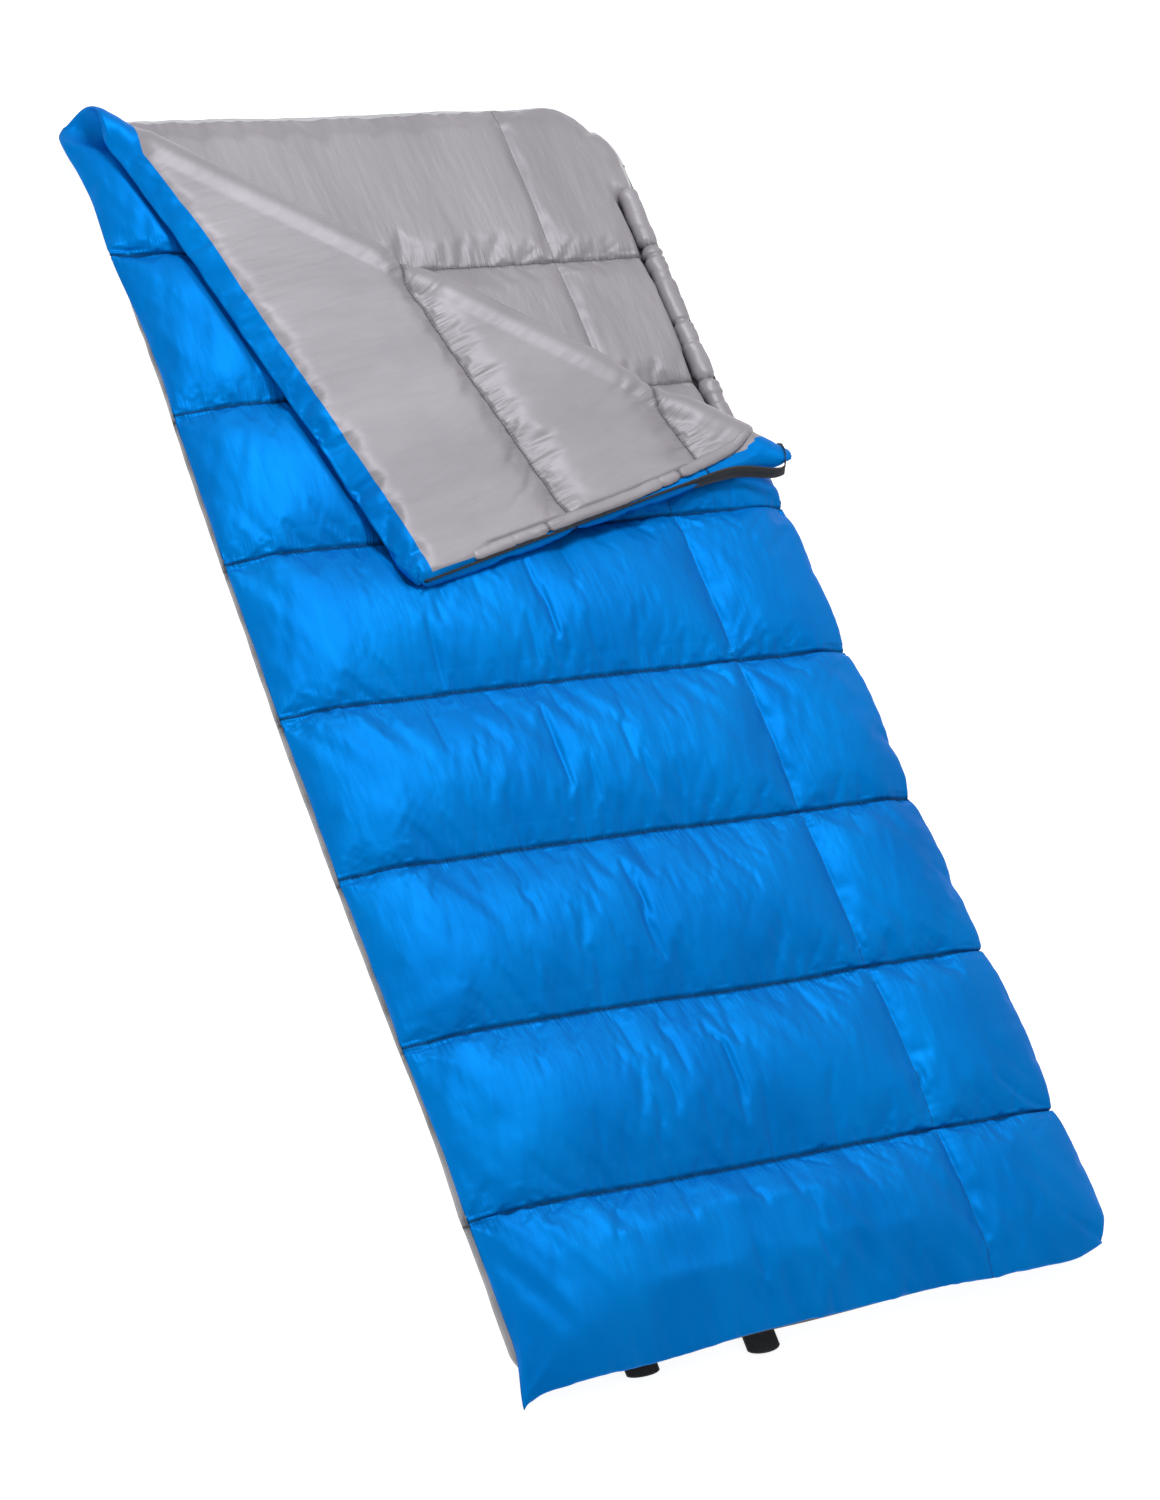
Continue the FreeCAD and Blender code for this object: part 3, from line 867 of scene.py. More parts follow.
def bottom_layer():
    layer = PaddedLayer(BOTTOM_LEFT, RIGHT, FOOT, HEAD, 0.0088, seed=40)
    left, right, foot, head = layer.edge_distances()
    ledge = LEDGE * smooth((TUBE_HIGH.y + 0.006 - layer.y) / 0.014)
    crown = channel_crown(layer.y) * (1 - 0.20 * bell(layer.x - SIDE_ROW, 0.012))
    ends = rise(foot, 0.045) * rise(head, 0.040) * rise(left, 0.060)
    up = (SEAM_HALF + (0.0115 - SEAM_HALF) * crown) * ends * rise(right - ledge + 0.004, 0.022)
    down = (SEAM_HALF + (0.0135 - SEAM_HALF) * crown) * ends * rise(right, 0.040)
    on_ledge = smooth((ledge + 0.003 - right) / 0.008) * smooth(ledge / LEDGE)
    middle = BOTTOM_MID - (BOTTOM_MID - 0.0035) * on_ledge - 0.004 * (1 - smooth(foot / 0.04))
    down = np.minimum(down, middle - 0.0008)
    x, y = round_corner(layer.x, layer.y, RIGHT, FOOT, FOOT_RADIUS)
    x, y = round_corner(x, y, RIGHT, HEAD, HEAD_RADIUS)
    x, y = round_corner(x, y, BOTTOM_LEFT, FOOT, 0.040)
    x, y = round_corner(x, y, BOTTOM_LEFT, HEAD, 0.080)
    tucked_in = (LEFT - BOTTOM_LEFT + 0.003 + 0.008 * (1 - smooth(foot / 0.3))) * (1 - smooth(left / 0.2))
    tucked_in = tucked_in - 0.009 * fade(left, 0.10) * np.clip(1 - (layer.y / 0.62) ** 2, 0, 1)
    spread = 0.010 * smooth((-0.60 - layer.y) / 0.30) * (1 - smooth(left / 0.25))
    x = x + tucked_in - spread + 0.0020 * cloud(layer.y, layer.x, 0.12, 0.5, 47)
    longer = 0.026 * smooth(1 - head / 0.25) * smooth(right / 0.10)
    lower_row = 0.016 * smooth((layer.y - 0.5) / 0.2) * smooth(head / 0.15)
    y = y + longer - lower_row + 0.003 * cloud(layer.x, layer.y, 0.11, 0.5, 48) * smooth(1 - head / 0.2)
    y = y + (0.006 + 0.022 * smooth((left - 0.05) / 0.10)) * (1 - smooth(foot / 0.10))
    y = y + 0.008 * fade(left, 0.20) * smooth(1 - head / 0.25)
    x = x - 0.006 * fade(right, 0.05) * smooth((0.86 - layer.y) / 0.05) * smooth((layer.y - 0.30) / 0.1)
    ripple = 0.0010 * cloud(layer.x, layer.y, 0.03, 0.03, 49) * (crown > 0.05)
    layer.upper = np.dstack([x, y, middle + up + ripple])
    layer.lower = np.dstack([x, y, middle - down])
    share_rim(layer)
    return layer


bottom = bottom_layer()
swell(bottom, pressure=2.6, ease=(-0.010, -0.032), cap=0.009, rim_hold=0.9, side_row_below=True)
refine(bottom, 3, 2)
pucker(bottom, seed=60, side_row_below=True)
bottom.upper[..., 2] = keep_above(keep_below(bottom.upper[..., 2], MIDDLE - 0.0010), 0.0014, 0.0004)
bottom.lower[..., 2] = keep_above(bottom.lower[..., 2], 0.0006, 0.0004)
for sheet in (bottom.upper, bottom.lower):
    sheet[..., 0] = keep_below(sheet[..., 0], RIGHT - 0.0004, 0.0003)
foot_rim = bottom.upper[0]
rim_x, along_foot = foot_rim[:, 0], 1 - smooth((foot_rim[:, 1] - FOOT - 0.02) / FOOT_RADIUS)
foot_rim[:, 1] += foot_drift(rim_x) * along_foot - 0.022 * smooth((bottom.x[0] - BOTTOM_LEFT - 0.05) / 0.10)
foot_rim[:, 2] = SEAM_AT_TAPE
share_rim(bottom)


def even_hem(y):
    return 0.006 + 0 * y


shell_cut, lining_cut = split_layer(bottom, False, left=0.022, right=even_hem, foot=0.012, head=0.006)
pale_shell = add_piece("quilted_pale_shell", *shell_cut[:2], pale_satin, "grey_shell", shell_cut[2])
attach(pale_shell, "root")
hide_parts("bottom_shell", "bottom_fill")
bottom_lining = add_piece("quilted_bottom_lining", *lining_cut[:2], grey_satin, "grey_lining",
                          lining_cut[2])
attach(bottom_lining, "root")
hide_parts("bottom_lining")
print("pale shell", len(shell_cut[1]), "faces; bottom lining", len(lining_cut[1]))

# %% [markdown]
# ## Narrow sewn pieces
# A filled tube of lining lies behind the open zip and keeps draughts out, and a flatter facing of the
# same cloth covers the zip of the top layer from inside. Both are strips, caught at each quilting row. A
# curve with a bevel could make them, but its section couldn't pinch and pucker. So a closed section is swept
# by hand along a path, and it may be another one at each point.

# %% Sweep a closed section along a path
def sweep(path, outward, section):
    """`section` holds (out, up) offsets, either for all points of the path or for each of them."""
    path, outward = np.asarray(path, float), np.asarray(outward, float)
    section = np.broadcast_to(section, (len(path), *np.shape(section)[-2:]))
    sides = section.shape[1]
    rings = path[:, None] + section[..., :1] * outward[:, None] + section[..., 1:] * np.array([0, 0, 1.0])
    index = np.arange(len(path) * sides).reshape(len(path), sides)
    near, far = index[:-1], index[1:]
    after_near, after_far = np.roll(near, -1, 1), np.roll(far, -1, 1)
    faces = np.stack([near, far, after_far, after_near], -1).reshape(-1, 4).tolist()
    faces += [index[0].tolist(), index[-1][::-1].tolist()]
    return rings.reshape(-1, 3), faces


def ellipse(across, height, sides=14):
    turn = np.arange(sides) * 2 * math.pi / sides
    return np.stack([across * np.cos(turn), height * np.sin(turn)], -1)


def stuffed_strip(y, centre_x, centre_z, half_width, half_height, pinch, seed):
    """A filled strip along Y, pinched where each quilting row catches it, with fine puckers."""
    ends = rise(np.minimum(y - y[0], y[-1] - y), half_width)
    near_row = np.min([np.abs(y - row) for row in ROWS], axis=0)
    fullness = (1 - pinch * bell(near_row, 0.006)) * (0.15 + 0.85 * ends)
    fullness = fullness - 0.22 * smooth((cloud(y, y * 0, 0.013, 1.0, seed + 3) - 0.45) / 0.4)
    turn = np.arange(20) * 2 * math.pi / 20
    along, around = np.meshgrid(y, turn, indexing="ij")
    wrinkle = cloud(along, around, 0.008, 1.6, seed) + 0.8 * cloud(along, around, 0.026, 2.2, seed + 1)
    size = fullness[:, None] + 0.07 * wrinkle * fade(near_row[:, None], 0.05) + 0.05 * wrinkle
    section = np.stack([half_width * size * np.cos(around), half_height * size * np.sin(around)], -1)
    drift = 0.0010 * cloud(y, y * 0, 0.09, 1.0, seed + 2)
    path = np.stack([centre_x + drift, y, np.full_like(y, centre_z)], -1)
    return sweep(path, np.tile([1.0, 0, 0], (len(y), 1)), section)


print("a section has", len(ellipse(1.0, 1.0)), "corners unless told otherwise")


# %% Draft tube and zip facing
STRIP_STEP = 0.0022
TUBE_X, TUBE_Z = 0.3975, 0.0168
TUBE_HALF, TUBE_HALF_HEIGHT = 0.0158, 0.0132
FACING_Z, FACING_THICKNESS = 0.0350, 0.0046
tube_y = np.arange(TUBE_LOW.y, TUBE_HIGH.y, STRIP_STEP)
tube_middle = TUBE_X + 0.0010 * smooth((tube_y - 0.30) / 0.1)
tube_points, tube_faces = stuffed_strip(tube_y, tube_middle, TUBE_Z, TUBE_HALF, TUBE_HALF_HEIGHT, 0.24, 301)
tube_points[:, 2] = keep_below(tube_points[:, 2], MIDDLE - 0.0010)
tube_points[:, 0] = keep_below(tube_points[:, 0], RIGHT - 0.0002, 0.0003)
draft_tube = add_piece("stuffed_draft_tube", tube_points, tube_faces, grey_satin, "grey_lining")
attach(draft_tube, "root")
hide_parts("draft_tube")

facing_y = np.arange(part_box("top_zip_facing")[0].y, FACING_HEAD, STRIP_STEP)
facing_points, facing_faces = stuffed_strip(facing_y, facing_middle(facing_y), FACING_Z,
                                            FACING_HALF, FACING_THICKNESS, 0.30, 311)
facing_points[:, 2] = keep_above(facing_points[:, 2], MIDDLE + 0.0006, 0.0004)
zip_facing = add_folded("padded_zip_facing", facing_points, facing_faces, grey_satin, "grey_lining")
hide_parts("top_zip_facing", "flap_zip_facing")
print("draft tube", len(tube_faces), "faces; facing", len(facing_faces))

# %% [markdown]
# ## The zip
# A coil zip is two woven tapes, each with a nylon coil sewn to its edge. It runs down one side, round the
# corner and along the foot. Separate teeth would be heavy, and a picture of teeth would be flat, so each
# coil is one ribbed tube. Above the slider the halves lie apart, the upper one on the top layer.

# %% The path of the zip
ZIP_FOOT_END = coil_low.x
ZIP_HEAD_END = coil_high.y
SLIDER_Y = sum(corner.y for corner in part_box("zip_slider")) / 2
TAPE_STEP, COIL_STEP = 0.004, 0.0007
ZIP_LIFT = 0.0036


def zip_path(y_from, step, on_top):
    """Path of the zip seen from above, from y_from down the side, round the corner and along the foot."""
    side = np.arange(y_from, FOOT + FOOT_RADIUS, -step)
    side = np.stack([np.full_like(side, RIGHT), side], -1)
    turn = np.arange(0, math.pi / 2, step / FOOT_RADIUS)
    centre = np.array([RIGHT - FOOT_RADIUS, FOOT + FOOT_RADIUS])
    corner = centre + FOOT_RADIUS * np.stack([np.cos(turn), -np.sin(turn)], -1)
    foot = np.arange(RIGHT - FOOT_RADIUS, ZIP_FOOT_END, -step)
    foot = np.stack([foot, np.full_like(foot, FOOT)], -1)
    outward = np.concatenate([np.tile([1.0, 0, 0], (len(side), 1)),
                              np.stack([np.cos(turn), -np.sin(turn), 0 * turn], -1),
                              np.tile([0, -1.0, 0], (len(foot), 1))])
    flat = np.concatenate([side, corner, foot])
    along_foot = 1 - smooth((flat[:, 1] - FOOT) / FOOT_RADIUS)
    stretch = tip_stretch(flat[:, 1]) * on_top
    x = flat[:, 0] + stretch
    y = flat[:, 1] - 0.3 * stretch + (foot_drift(flat[:, 0]) + 0.006) * along_foot
    lifted = ZIP_LIFT * smooth((flat[:, 1] - SLIDER_Y) / 0.012) * on_top
    return np.column_stack([x, y, lifted]), outward


def opened(y):
    """0 where the zip is closed and 1 where its halves lie apart."""
    return smooth((y - SLIDER_Y) / 0.07)


print("the slider stands", round(ZIP_HEAD_END - SLIDER_Y, 3), "m below the head end of the zip")


# %% Two tapes and two coils
def tape(path, outward, low, high, splay, drop):
    """A thin strip from `low` to `high`, whose free edge stands out by `splay`."""
    apart = opened(path[:, 1])
    section = np.array([[(0.0001, low), (0.0009, low), (0.0009 + out, low + up), (0.0001 + out, low + up)]
                        for out, up in zip(splay, high - low - 0.3 * splay)])
    section[..., 1] -= (drop * apart)[:, None]
    return sweep(path, outward, section)


def coil(y_from, centre, drop, on_top):
    """A nylon coil: one ribbed tube with a rib for each tooth."""
    path, outward = zip_path(y_from, COIL_STEP, on_top)
    path[:, 2] += centre - drop * opened(path[:, 1])
    rib = 0.82 + 0.18 * np.cos(np.arange(len(path)) * 2 * math.pi / 4)
    section = ellipse(0.0011, 0.0016, 8) * rib[:, None, None] + np.array([0.0022, 0])
    return sweep(path, outward, section)


LOWER_END = HEAD - HEAD_RADIUS - 0.005
OPEN_DROP = 0.0135
LOWER_COIL_Z, UPPER_COIL_Z = 0.0281, 0.0322
path, outward = zip_path(LOWER_END, TAPE_STEP, on_top=False)
lower_tape_cut = tape(path, outward, 0.0296, 0.0146, np.zeros(len(path)), OPEN_DROP)
lower_tape = add_piece("lower_zip_tape_cloth", *lower_tape_cut, black_tape, "black_tape")
lower_coil_cut = coil(LOWER_END, LOWER_COIL_Z, OPEN_DROP, on_top=False)
lower_coil = add_piece("lower_zip_coil_ribs", *lower_coil_cut, black_nylon, "black_coil")
for piece, cad in ((lower_tape, "lower_zip_tape"), (lower_coil, "lower_zip_coil")):
    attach(piece, "root")
    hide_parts(cad)
path, outward = zip_path(ZIP_HEAD_END, TAPE_STEP, on_top=True)
splay = 0.0125 * opened(path[:, 1]) * (1 - smooth((path[:, 1] - 0.36) / 0.22))
tape_top = 0.0360 + 0.0080 * opened(path[:, 1])
upper_tape_cut = tape(path, outward, 0.0307, tape_top, splay, 0.0)
upper_tape = add_folded("upper_zip_tape_cloth", *upper_tape_cut, black_tape, "black_tape")
upper_coil_cut = coil(ZIP_HEAD_END, UPPER_COIL_Z, 0.0, on_top=True)
upper_coil = add_folded("upper_zip_coil_ribs", *upper_coil_cut, black_nylon, "black_coil")
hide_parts("top_zip_tape", "flap_zip_tape")
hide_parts("top_zip_coil", "flap_zip_coil")
print("zip from", round(ZIP_HEAD_END, 3), "round to", round(ZIP_FOOT_END, 3))
print("slider at", round(SLIDER_Y, 3))

# %% [markdown]
# ## Stitches
# The quilting is a running line of lock stitches: short dashes of thread, drawn down into the crease that
# they make. Instances on a curve would do, but all of them are wanted as one mesh a colour, so each dash is
# a little spindle of five sides. They follow the finished cloth, so they are laid on the swelled sheets.

# %% Thread along the rows
def dashes(line, normal, dash=0.0030, gap=0.0014, thread=0.00045):
    """Little spindles of thread along a line of points."""
    step = np.linalg.norm(np.diff(line, axis=0), axis=1)
    length = np.concatenate([[0], np.cumsum(step)])
    starts = np.arange(0.004, length[-1] - dash - 0.004, dash + gap)
    stations = (starts[:, None] + dash * np.array([0.0, 0.25, 0.75, 1.0])).ravel()
    place = np.stack([np.interp(stations, length, line[:, k]) for k in range(3)], -1)
    lift = np.stack([np.interp(stations, length, normal[:, k]) for k in range(3)], -1)
    ahead = np.gradient(place, axis=0)
    side = np.cross(ahead, lift)
    side /= np.linalg.norm(side, axis=1, keepdims=True)
    thick = np.tile([0.25, 1.0, 1.0, 0.25], len(starts)) * thread
    place = place + lift * (0.0002 + 0.2 * thick)[:, None]
    turn = np.arange(5) * 2 * math.pi / 5
    rings = (place[:, None] + thick[:, None, None] * (np.cos(turn)[:, None] * side[:, None]
             + np.sin(turn)[:, None] * lift[:, None]))
    index = np.arange(len(place) * 5).reshape(len(starts), 4, 5)
    near, far = index[:, :-1], index[:, 1:]
    faces = np.stack([near, np.roll(near, -1, 2), np.roll(far, -1, 2), far], -1).reshape(-1, 4)
    return rings.reshape(-1, 3), faces


def row_stitches(layer, sheets):
    """Stitches along every quilting row, and along the side row where the sheet has one."""
    pieces = []
    for sheet, sign, side_row in sheets:
        normal = sign * sheet_normals(sheet)
        for mark in layer.y_marks[1:-1]:
            pieces.append(dashes(sheet[mark], normal[mark]))
        column = layer.x_marks[1]
        if side_row:
            pieces.append(dashes(sheet[:, column], normal[:, column]))
    return join_parts(pieces)


def join_parts(parts):
    points, faces, count = [], [], 0
    for part_points, part_faces in parts:
        points.append(part_points)
        faces += [[int(corner) + count for corner in face] for face in part_faces]
        count += len(part_points)
    return np.concatenate(points), faces


top_rows = row_stitches(top, [(top.upper, 1, True)])
top_thread = add_folded("top_quilting_stitches", *top_rows, blue_thread, "blue_thread")
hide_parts("top_quilting", "flap_quilting")
lining_rows = row_stitches(top, [(top.lower, -1, False)])
lining_thread = add_folded("top_lining_stitches", *lining_rows, grey_thread, "grey_thread")
bottom_rows = row_stitches(bottom, [(bottom.upper, 1, True), (bottom.lower, -1, True)])
bottom_thread = add_piece("bottom_quilting_stitches", *bottom_rows, grey_thread, "grey_thread")
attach(bottom_thread, "root")
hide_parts("bottom_quilting")
print("stitch faces", sum(len(thread.data.polygons) for thread in (top_thread, lining_thread, bottom_thread)))

# %% [markdown]
# ## The side seam
# A narrow strip joins the two layers along the left side. It starts on the bottom layer's edge, sags a
# little and ends on the top layer's. It is a single sheet, because nothing of its thickness shows.

# %% The strip between the layers
def side_strip():
    binding_low, binding_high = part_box("side_seam_binding")
    along = top.y[:, 0]
    rows = np.flatnonzero((along > binding_low.y + 0.02) & (along < binding_high.y - 0.03))
    low = bottom.upper[:, 0]
    high = top.upper[rows, 0]
    y = high[:, 1]
    start_x = np.interp(y, low[:, 1], low[:, 0]) + 0.012
    start_z = np.interp(y, low[:, 1], low[:, 2]) + 0.007
    shares = np.linspace(0, 1, 7)
    points = []
    for share in shares:
        x = start_x + (high[:, 0] + 0.001 - start_x) * share
        z = start_z + (high[:, 2] - start_z) * share - 0.003 * math.sin(math.pi * share)
        points.append(np.stack([x, y, z], -1))
    index = np.arange(len(rows) * len(shares)).reshape(len(shares), len(rows))
    return np.concatenate(points), sheet_faces(index)


seam_points, seam_faces = side_strip()
side_seam = add_piece("side_seam_strip", seam_points, seam_faces, black_tape, "black_tape")
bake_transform(side_seam)
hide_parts("side_seam_binding")
print("side strip", len(seam_faces), "faces")

# %% [markdown]
# ## Slider, pull and stops
# The slider is a small cast shell over the coil with a bridge, and the pull hangs from it. A crimped stop
# ends each coil. They are small, so a few plates with rounded outlines and softened rims are enough, and a
# narrow bevel catches the light on the edges.

# %% Plates, a bridge and stops
def rounded_plate(centre, size, radius, bevel, axis, segments=6):
    """A plate with rounded outline and softened rim; `axis` is the thin direction, 0 for X and 2 for Z."""
    width, height = size[0] / 2 - radius, size[1] / 2 - radius
    outline = []
    for sx, sy, start in ((1, 1, 0), (-1, 1, 90), (-1, -1, 180), (1, -1, 270)):
        for k in range(segments + 1):
            turn = math.radians(start + 90 * k / segments)
            outline.append((sx * width, sy * height, math.cos(turn), math.sin(turn)))
    outline = np.array(outline)
    rings = []
    thick = size[2] / 2
    for level, inset in ((-thick, bevel), (-thick + bevel, 0), (thick - bevel, 0), (thick, bevel)):
        flat = outline[:, :2] + outline[:, 2:] * (radius - inset)
        rings.append(np.column_stack([flat, np.full(len(flat), level)]))
    points = np.concatenate(rings)
    count = len(outline)
    index = np.arange(4 * count).reshape(4, count)
    around = np.roll(index, -1, 1)
    faces = np.stack([index[:-1], around[:-1], around[1:], index[1:]], -1).reshape(-1, 4).tolist()
    faces += [index[0][::-1].tolist(), index[-1].tolist()]
    order = [2, 0, 1] if axis == 0 else [0, 1, 2]
    return points[:, order] + np.array(centre), faces


def bridge(centre, reach, height, wire):
    """An arch of wire standing off the slider's plate, for the pull's eye."""
    turn = np.linspace(0, math.pi, 15)
    path = np.stack([centre[0] + height * np.sin(turn), centre[1] + reach * np.cos(turn), 0 * turn], -1)
    path[:, 2] = centre[2]
    outward = np.stack([np.sin(turn), np.cos(turn), 0 * turn], -1)
    return sweep(path, outward, ellipse(wire, wire, 8))


STOP_GAP = 0.002


def stop(y, z):
    """A crimped stop over the end of a coil."""
    return rounded_plate((RIGHT + 0.0024, y, z), (0.0045, 0.0036, 0.0030), 0.0010, 0.0004, 0)


print("a plate has", len(rounded_plate((0, 0, 0), (1, 1, 1), 0.1, 0.1, 0)[0]), "points")

# %% Slider, pull and stops
lower_stop_cut = stop(LOWER_END + STOP_GAP, LOWER_COIL_Z - OPEN_DROP)
lower_stop = add_piece("lower_head_stop", *lower_stop_cut, black_enamel, "black_metal")
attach(lower_stop, "root")
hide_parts("lower_zip_head_stop")
upper_stop_cut = stop(ZIP_HEAD_END + STOP_GAP, UPPER_COIL_Z)
upper_stop = add_folded("upper_head_stop", *upper_stop_cut, black_enamel, "black_metal")
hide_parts("flap_zip_head_stop")
frame["nodes"]["zip_foot_stop"].data.materials.clear()
frame["nodes"]["zip_foot_stop"].data.materials.append(black_enamel)

PULL_X, PULL_TIP_Y = 0.4195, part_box("zip_pull")[0].y
slider_parts = [rounded_plate((0.4169, SLIDER_Y, MIDDLE), (0.0240, 0.0150, 0.0021), 0.0045, 0.0006, 0)]
for side in (-1, 1):
    flange = (0.4150, SLIDER_Y, MIDDLE + side * 0.0066)
    slider_parts.append(rounded_plate(flange, (0.0200, 0.0016, 0.0036), 0.0007, 0.0003, 0))
slider_parts.append(bridge((0.4178, SLIDER_Y, MIDDLE), 0.0042, 0.0027, 0.0006))
zip_slider = add_piece("zip_slider_shell", *join_parts(slider_parts), black_enamel, "black_metal")
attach(zip_slider, "slider")
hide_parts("zip_slider")


def pull_tab():
    """A flat tab with a long eye at the end that hangs on the bridge."""
    eye, tip, half, thick = SLIDER_Y + 0.0005, PULL_TIP_Y, 0.0040, 0.0007
    turn = np.linspace(0, 2 * math.pi, 33)[:-1]
    near_end = np.sin(turn) > 0
    outer = np.stack([half * np.cos(turn) * np.where(near_end, 0.75, 1.0), half * np.sin(turn)], -1)
    outer[:, 1] += np.where(near_end, eye - half, tip + half)
    eye_end = np.where(near_end, eye - 0.0042, eye - 0.0100)
    inner = np.stack([0.0018 * np.cos(turn), 0.0022 * np.sin(turn) + eye_end], -1)
    loops = [(outer, -thick), (outer, thick), (inner, thick), (inner, -thick)]
    points = [np.column_stack([np.full(len(turn), PULL_X + x), loop[:, 1], MIDDLE + loop[:, 0]])
              for loop, x in loops]
    points = np.concatenate(points)
    index = np.arange(len(points)).reshape(len(loops), len(turn))
    after = np.roll(index, -1, 1)
    ring, next_ring = index, np.roll(index, -1, 0)
    faces = np.stack([ring, after, np.roll(after, -1, 0), next_ring], -1).reshape(-1, 4)
    return points, faces[:, ::-1]


zip_pull = add_piece("zip_pull_tab", *pull_tab(), black_enamel, "black_metal")
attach(zip_pull, "pull")
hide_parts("zip_pull")
for piece in (zip_slider, zip_pull):
    edge = piece.modifiers.new("soft_edges", "BEVEL")
    edge.width, edge.segments, edge.limit_method = 0.0002, 2, "ANGLE"
print("slider", len(zip_slider.data.polygons), "faces; pull", len(zip_pull.data.polygons))

# %% [markdown]
# ## Webbing loops
# Two loops of webbing are sewn under the foot, to tie the rolled bag. Each is one piece of webbing: its
# flat part is held by the seam and its nose stands out. It could be a bent plate of one width, but real
# webbing bows, so the nose is drawn in towards its sides. It bends where it leaves the seam.

# %% Webbing loops under the foot
STRAP_HALF = 0.022
STRAP_SEWN = 0.020
STRAP_PIVOT_Y = joints["foot_strap_left_bend"]["pos_m"][1]


def webbing_loop(middle_x, reach, plump, lift, thickness=0.0012):
    """Webbing sewn under the bag: it runs out past the foot, turns round the end and comes back."""
    across = np.linspace(-1, 1, 17)
    turn = np.linspace(0.5, -0.5, 13) * math.pi
    nose = 0.0014 + plump
    under = [(out, 0.0014) for out in (-STRAP_SEWN, -0.6 * STRAP_SEWN, -0.25 * STRAP_SEWN)]
    profile = under + [(0.35 * reach, nose)]
    profile += [(reach * (0.7 + 0.3 * math.cos(t)), nose * math.sin(t)) for t in turn]
    profile += [(0.35 * reach, -nose)] + [(out, -height) for out, height in under[::-1]]
    profile = np.array(profile)
    outside = np.maximum(profile[:, 0], 0.0)
    rings = []
    for u in across:
        bow = math.sqrt(max(0.04, 1 - 0.96 * u * u))
        out = np.where(profile[:, 0] > 0, profile[:, 0] * bow, profile[:, 0])
        swell_up = np.where(profile[:, 0] > 0, 0.4 + 0.6 * bow, 1.0)
        up = 0.0012 + nose + profile[:, 1] * swell_up + lift * (outside / reach * bow) ** 1.5
        across_x = np.full(len(profile), middle_x + STRAP_HALF * u)
        rings.append(np.stack([across_x, STRAP_PIVOT_Y - out, up], -1))
    sheet = np.array(rings)
    normal = sheet_normals(sheet)
    outer, inner = sheet + normal * thickness / 2, sheet - normal * thickness / 2
    count = sheet.shape[0] * sheet.shape[1]
    index = np.arange(count).reshape(sheet.shape[:2])
    faces = [*sheet_faces(index).tolist(), *(sheet_faces(index)[:, ::-1] + count).tolist()]
    rim = [*index[0], *index[1:, -1], *index[-1, -2::-1], *index[-2:0:-1, 0]]
    faces += [[b, a, a + count, b + count] for a, b in zip(rim, rim[1:] + rim[:1])]
    return np.concatenate([outer.reshape(-1, 3), inner.reshape(-1, 3)]), faces


for side, reach, plump, lift in (("left", 0.006, 0.0003, 0.002), ("right", 0.009, 0.0010, 0.003)):
    middle_x = joints["foot_strap_" + side + "_bend"]["pos_m"][0]
    loop_cut = webbing_loop(middle_x, reach, plump, lift)
    strap = add_piece("webbing_loop_" + side, *loop_cut, black_webbing, "black_webbing")
    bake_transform(strap)
    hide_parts("foot_strap_" + side, "strap_anchor_" + side)
    print(strap.name, "stands out", reach, "m")

# %% [markdown]
# ## Light and floor
# Satin needs large soft lights: its highlights are pictures of the lamps. A big one hangs over the bag
# towards the head, a second fills from the left, and the pale floor and sky lift the shadows. The floor
# glows, so it stays nearly white and the shadow on it stays faint.

# %% Floor and lights
def area_light(name, place, target, size, power):
    lamp = bpy.data.lights.new(name, "AREA")
    lamp.size, lamp.energy = size, power
    light = bpy.data.objects.new(name, lamp)
    light.location = place
    light.rotation_euler = (Vector(target) - Vector(place)).to_track_quat("-Z", "Y").to_euler()
    bpy.context.scene.collection.objects.link(light)


FLOOR_HALF = 60.0


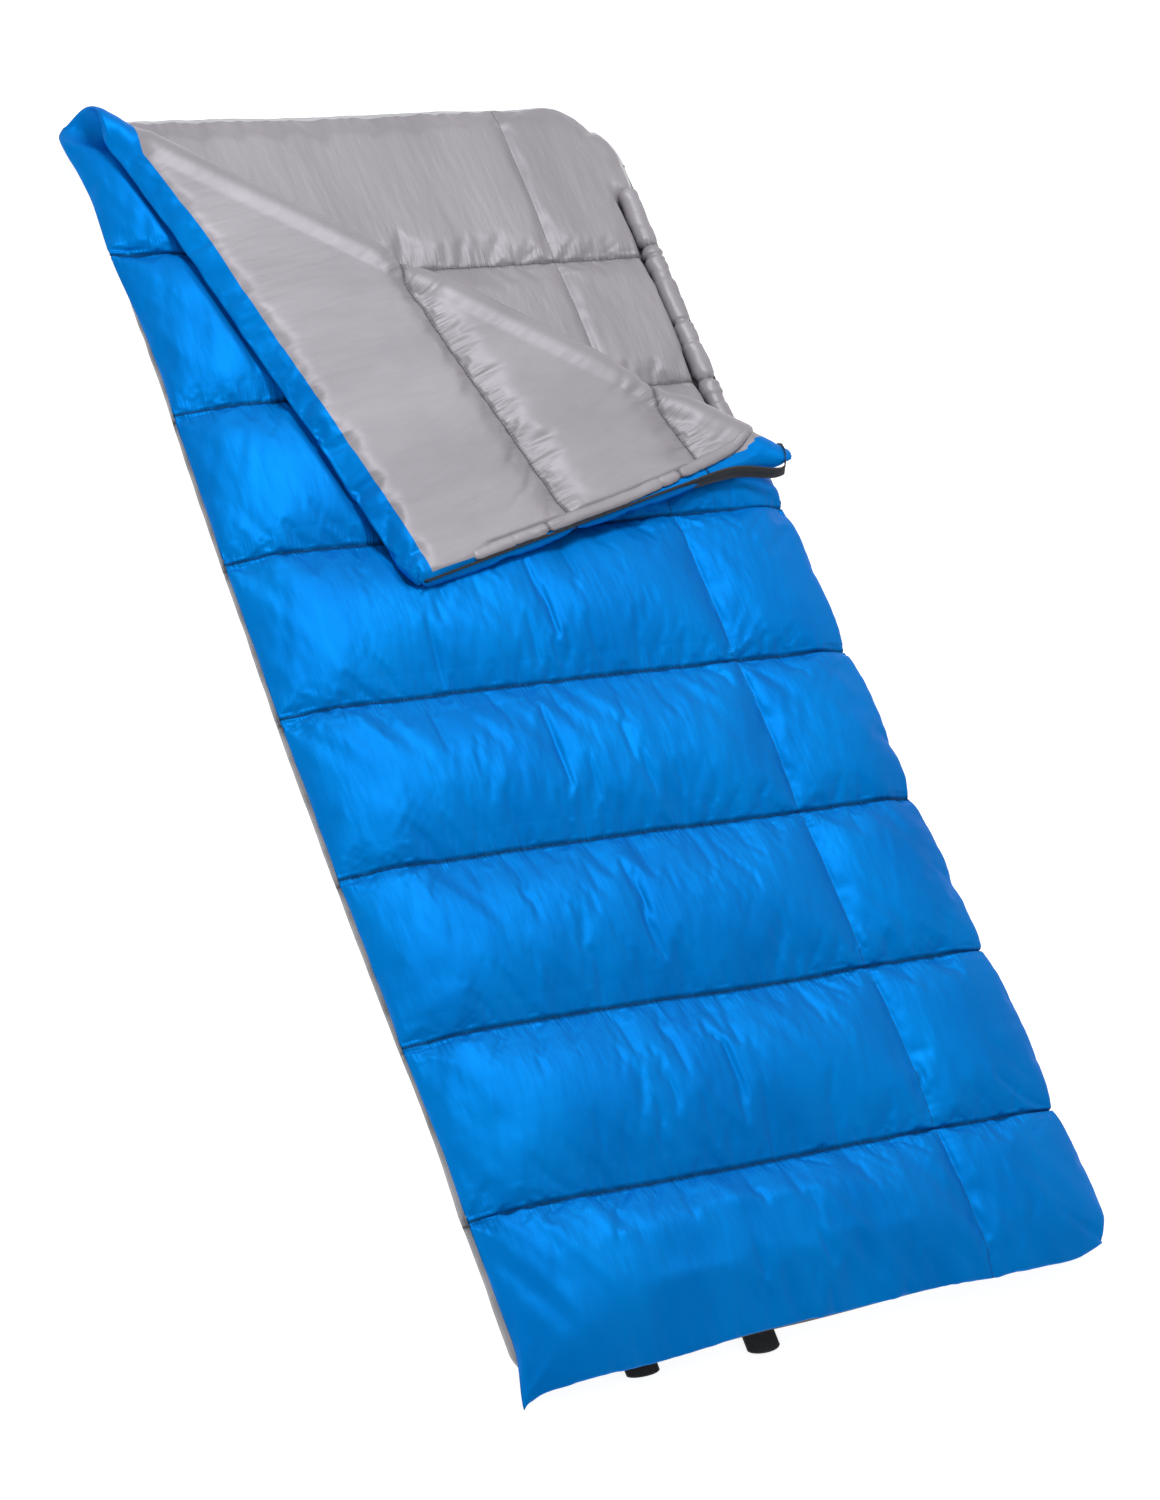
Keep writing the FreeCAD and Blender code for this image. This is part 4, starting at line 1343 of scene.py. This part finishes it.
def pale_floor():
    corners = [(-FLOOR_HALF, -FLOOR_HALF, 0), (FLOOR_HALF, -FLOOR_HALF, 0),
               (FLOOR_HALF, FLOOR_HALF, 0), (-FLOOR_HALF, FLOOR_HALF, 0)]
    floor = new_object("floor", corners, [(0, 1, 2, 3)])
    material, tree, surface = new_material("floor_paper")
    grain = node(tree, "ShaderNodeTexNoise", Scale=3.0)
    tree.links.new(bumped(tree, grain.outputs["Fac"], 0.02, 0.001), surface.inputs["Normal"])
    surface.inputs["Base Color"].default_value = (0.5, 0.5, 0.5, 1)
    surface.inputs["Roughness"].default_value = 0.9
    surface.inputs["Emission Color"].default_value = (1, 1, 1, 1)
    surface.inputs["Emission Strength"].default_value = 0.80
    floor.data.materials.append(material)


pale_floor()
area_light("overhead_softbox", (0.35, 1.7, 3.2), (0, 0, 0), size=1.2, power=76)
area_light("left_fill", (-3.0, -0.6, 2.2), (0, 0, 0), size=2.2, power=12)
world = bpy.data.worlds.new("studio")
world.use_nodes = True
world.node_tree.nodes["Background"].inputs["Color"].default_value = (1, 1, 1, 1)
world.node_tree.nodes["Background"].inputs["Strength"].default_value = 0.55
bpy.context.scene.world = world
bpy.context.scene.view_settings.view_transform = "Standard"

# %% [markdown]
# ## Camera
# A long lens from well above the left side of the foot keeps the bag's edges nearly parallel. The camera is
# placed by its aim and by the direction that is right in the view, so it can be rolled a little.

# %% Camera
CAMERA_PLACE = Vector((-2.519, -2.316, 4.117))
CAMERA_AIM = Vector((0.472, 0.421, -0.775)).normalized()
CAMERA_RIGHT = Vector((0.8745, -0.334, 0.351))
camera_data = bpy.data.cameras.new("camera")
camera_data.lens, camera_data.sensor_width = 97.3, 36
camera = bpy.data.objects.new("camera", camera_data)
bpy.context.scene.collection.objects.link(camera)
right = (CAMERA_RIGHT - CAMERA_AIM * CAMERA_RIGHT.dot(CAMERA_AIM)).normalized()
up = right.cross(CAMERA_AIM)
turn = Matrix((right, up, -CAMERA_AIM)).transposed()
camera.matrix_world = Matrix.Translation(CAMERA_PLACE) @ turn.to_4x4()
bpy.context.scene.camera = camera
print("lens", camera_data.lens, "mm")
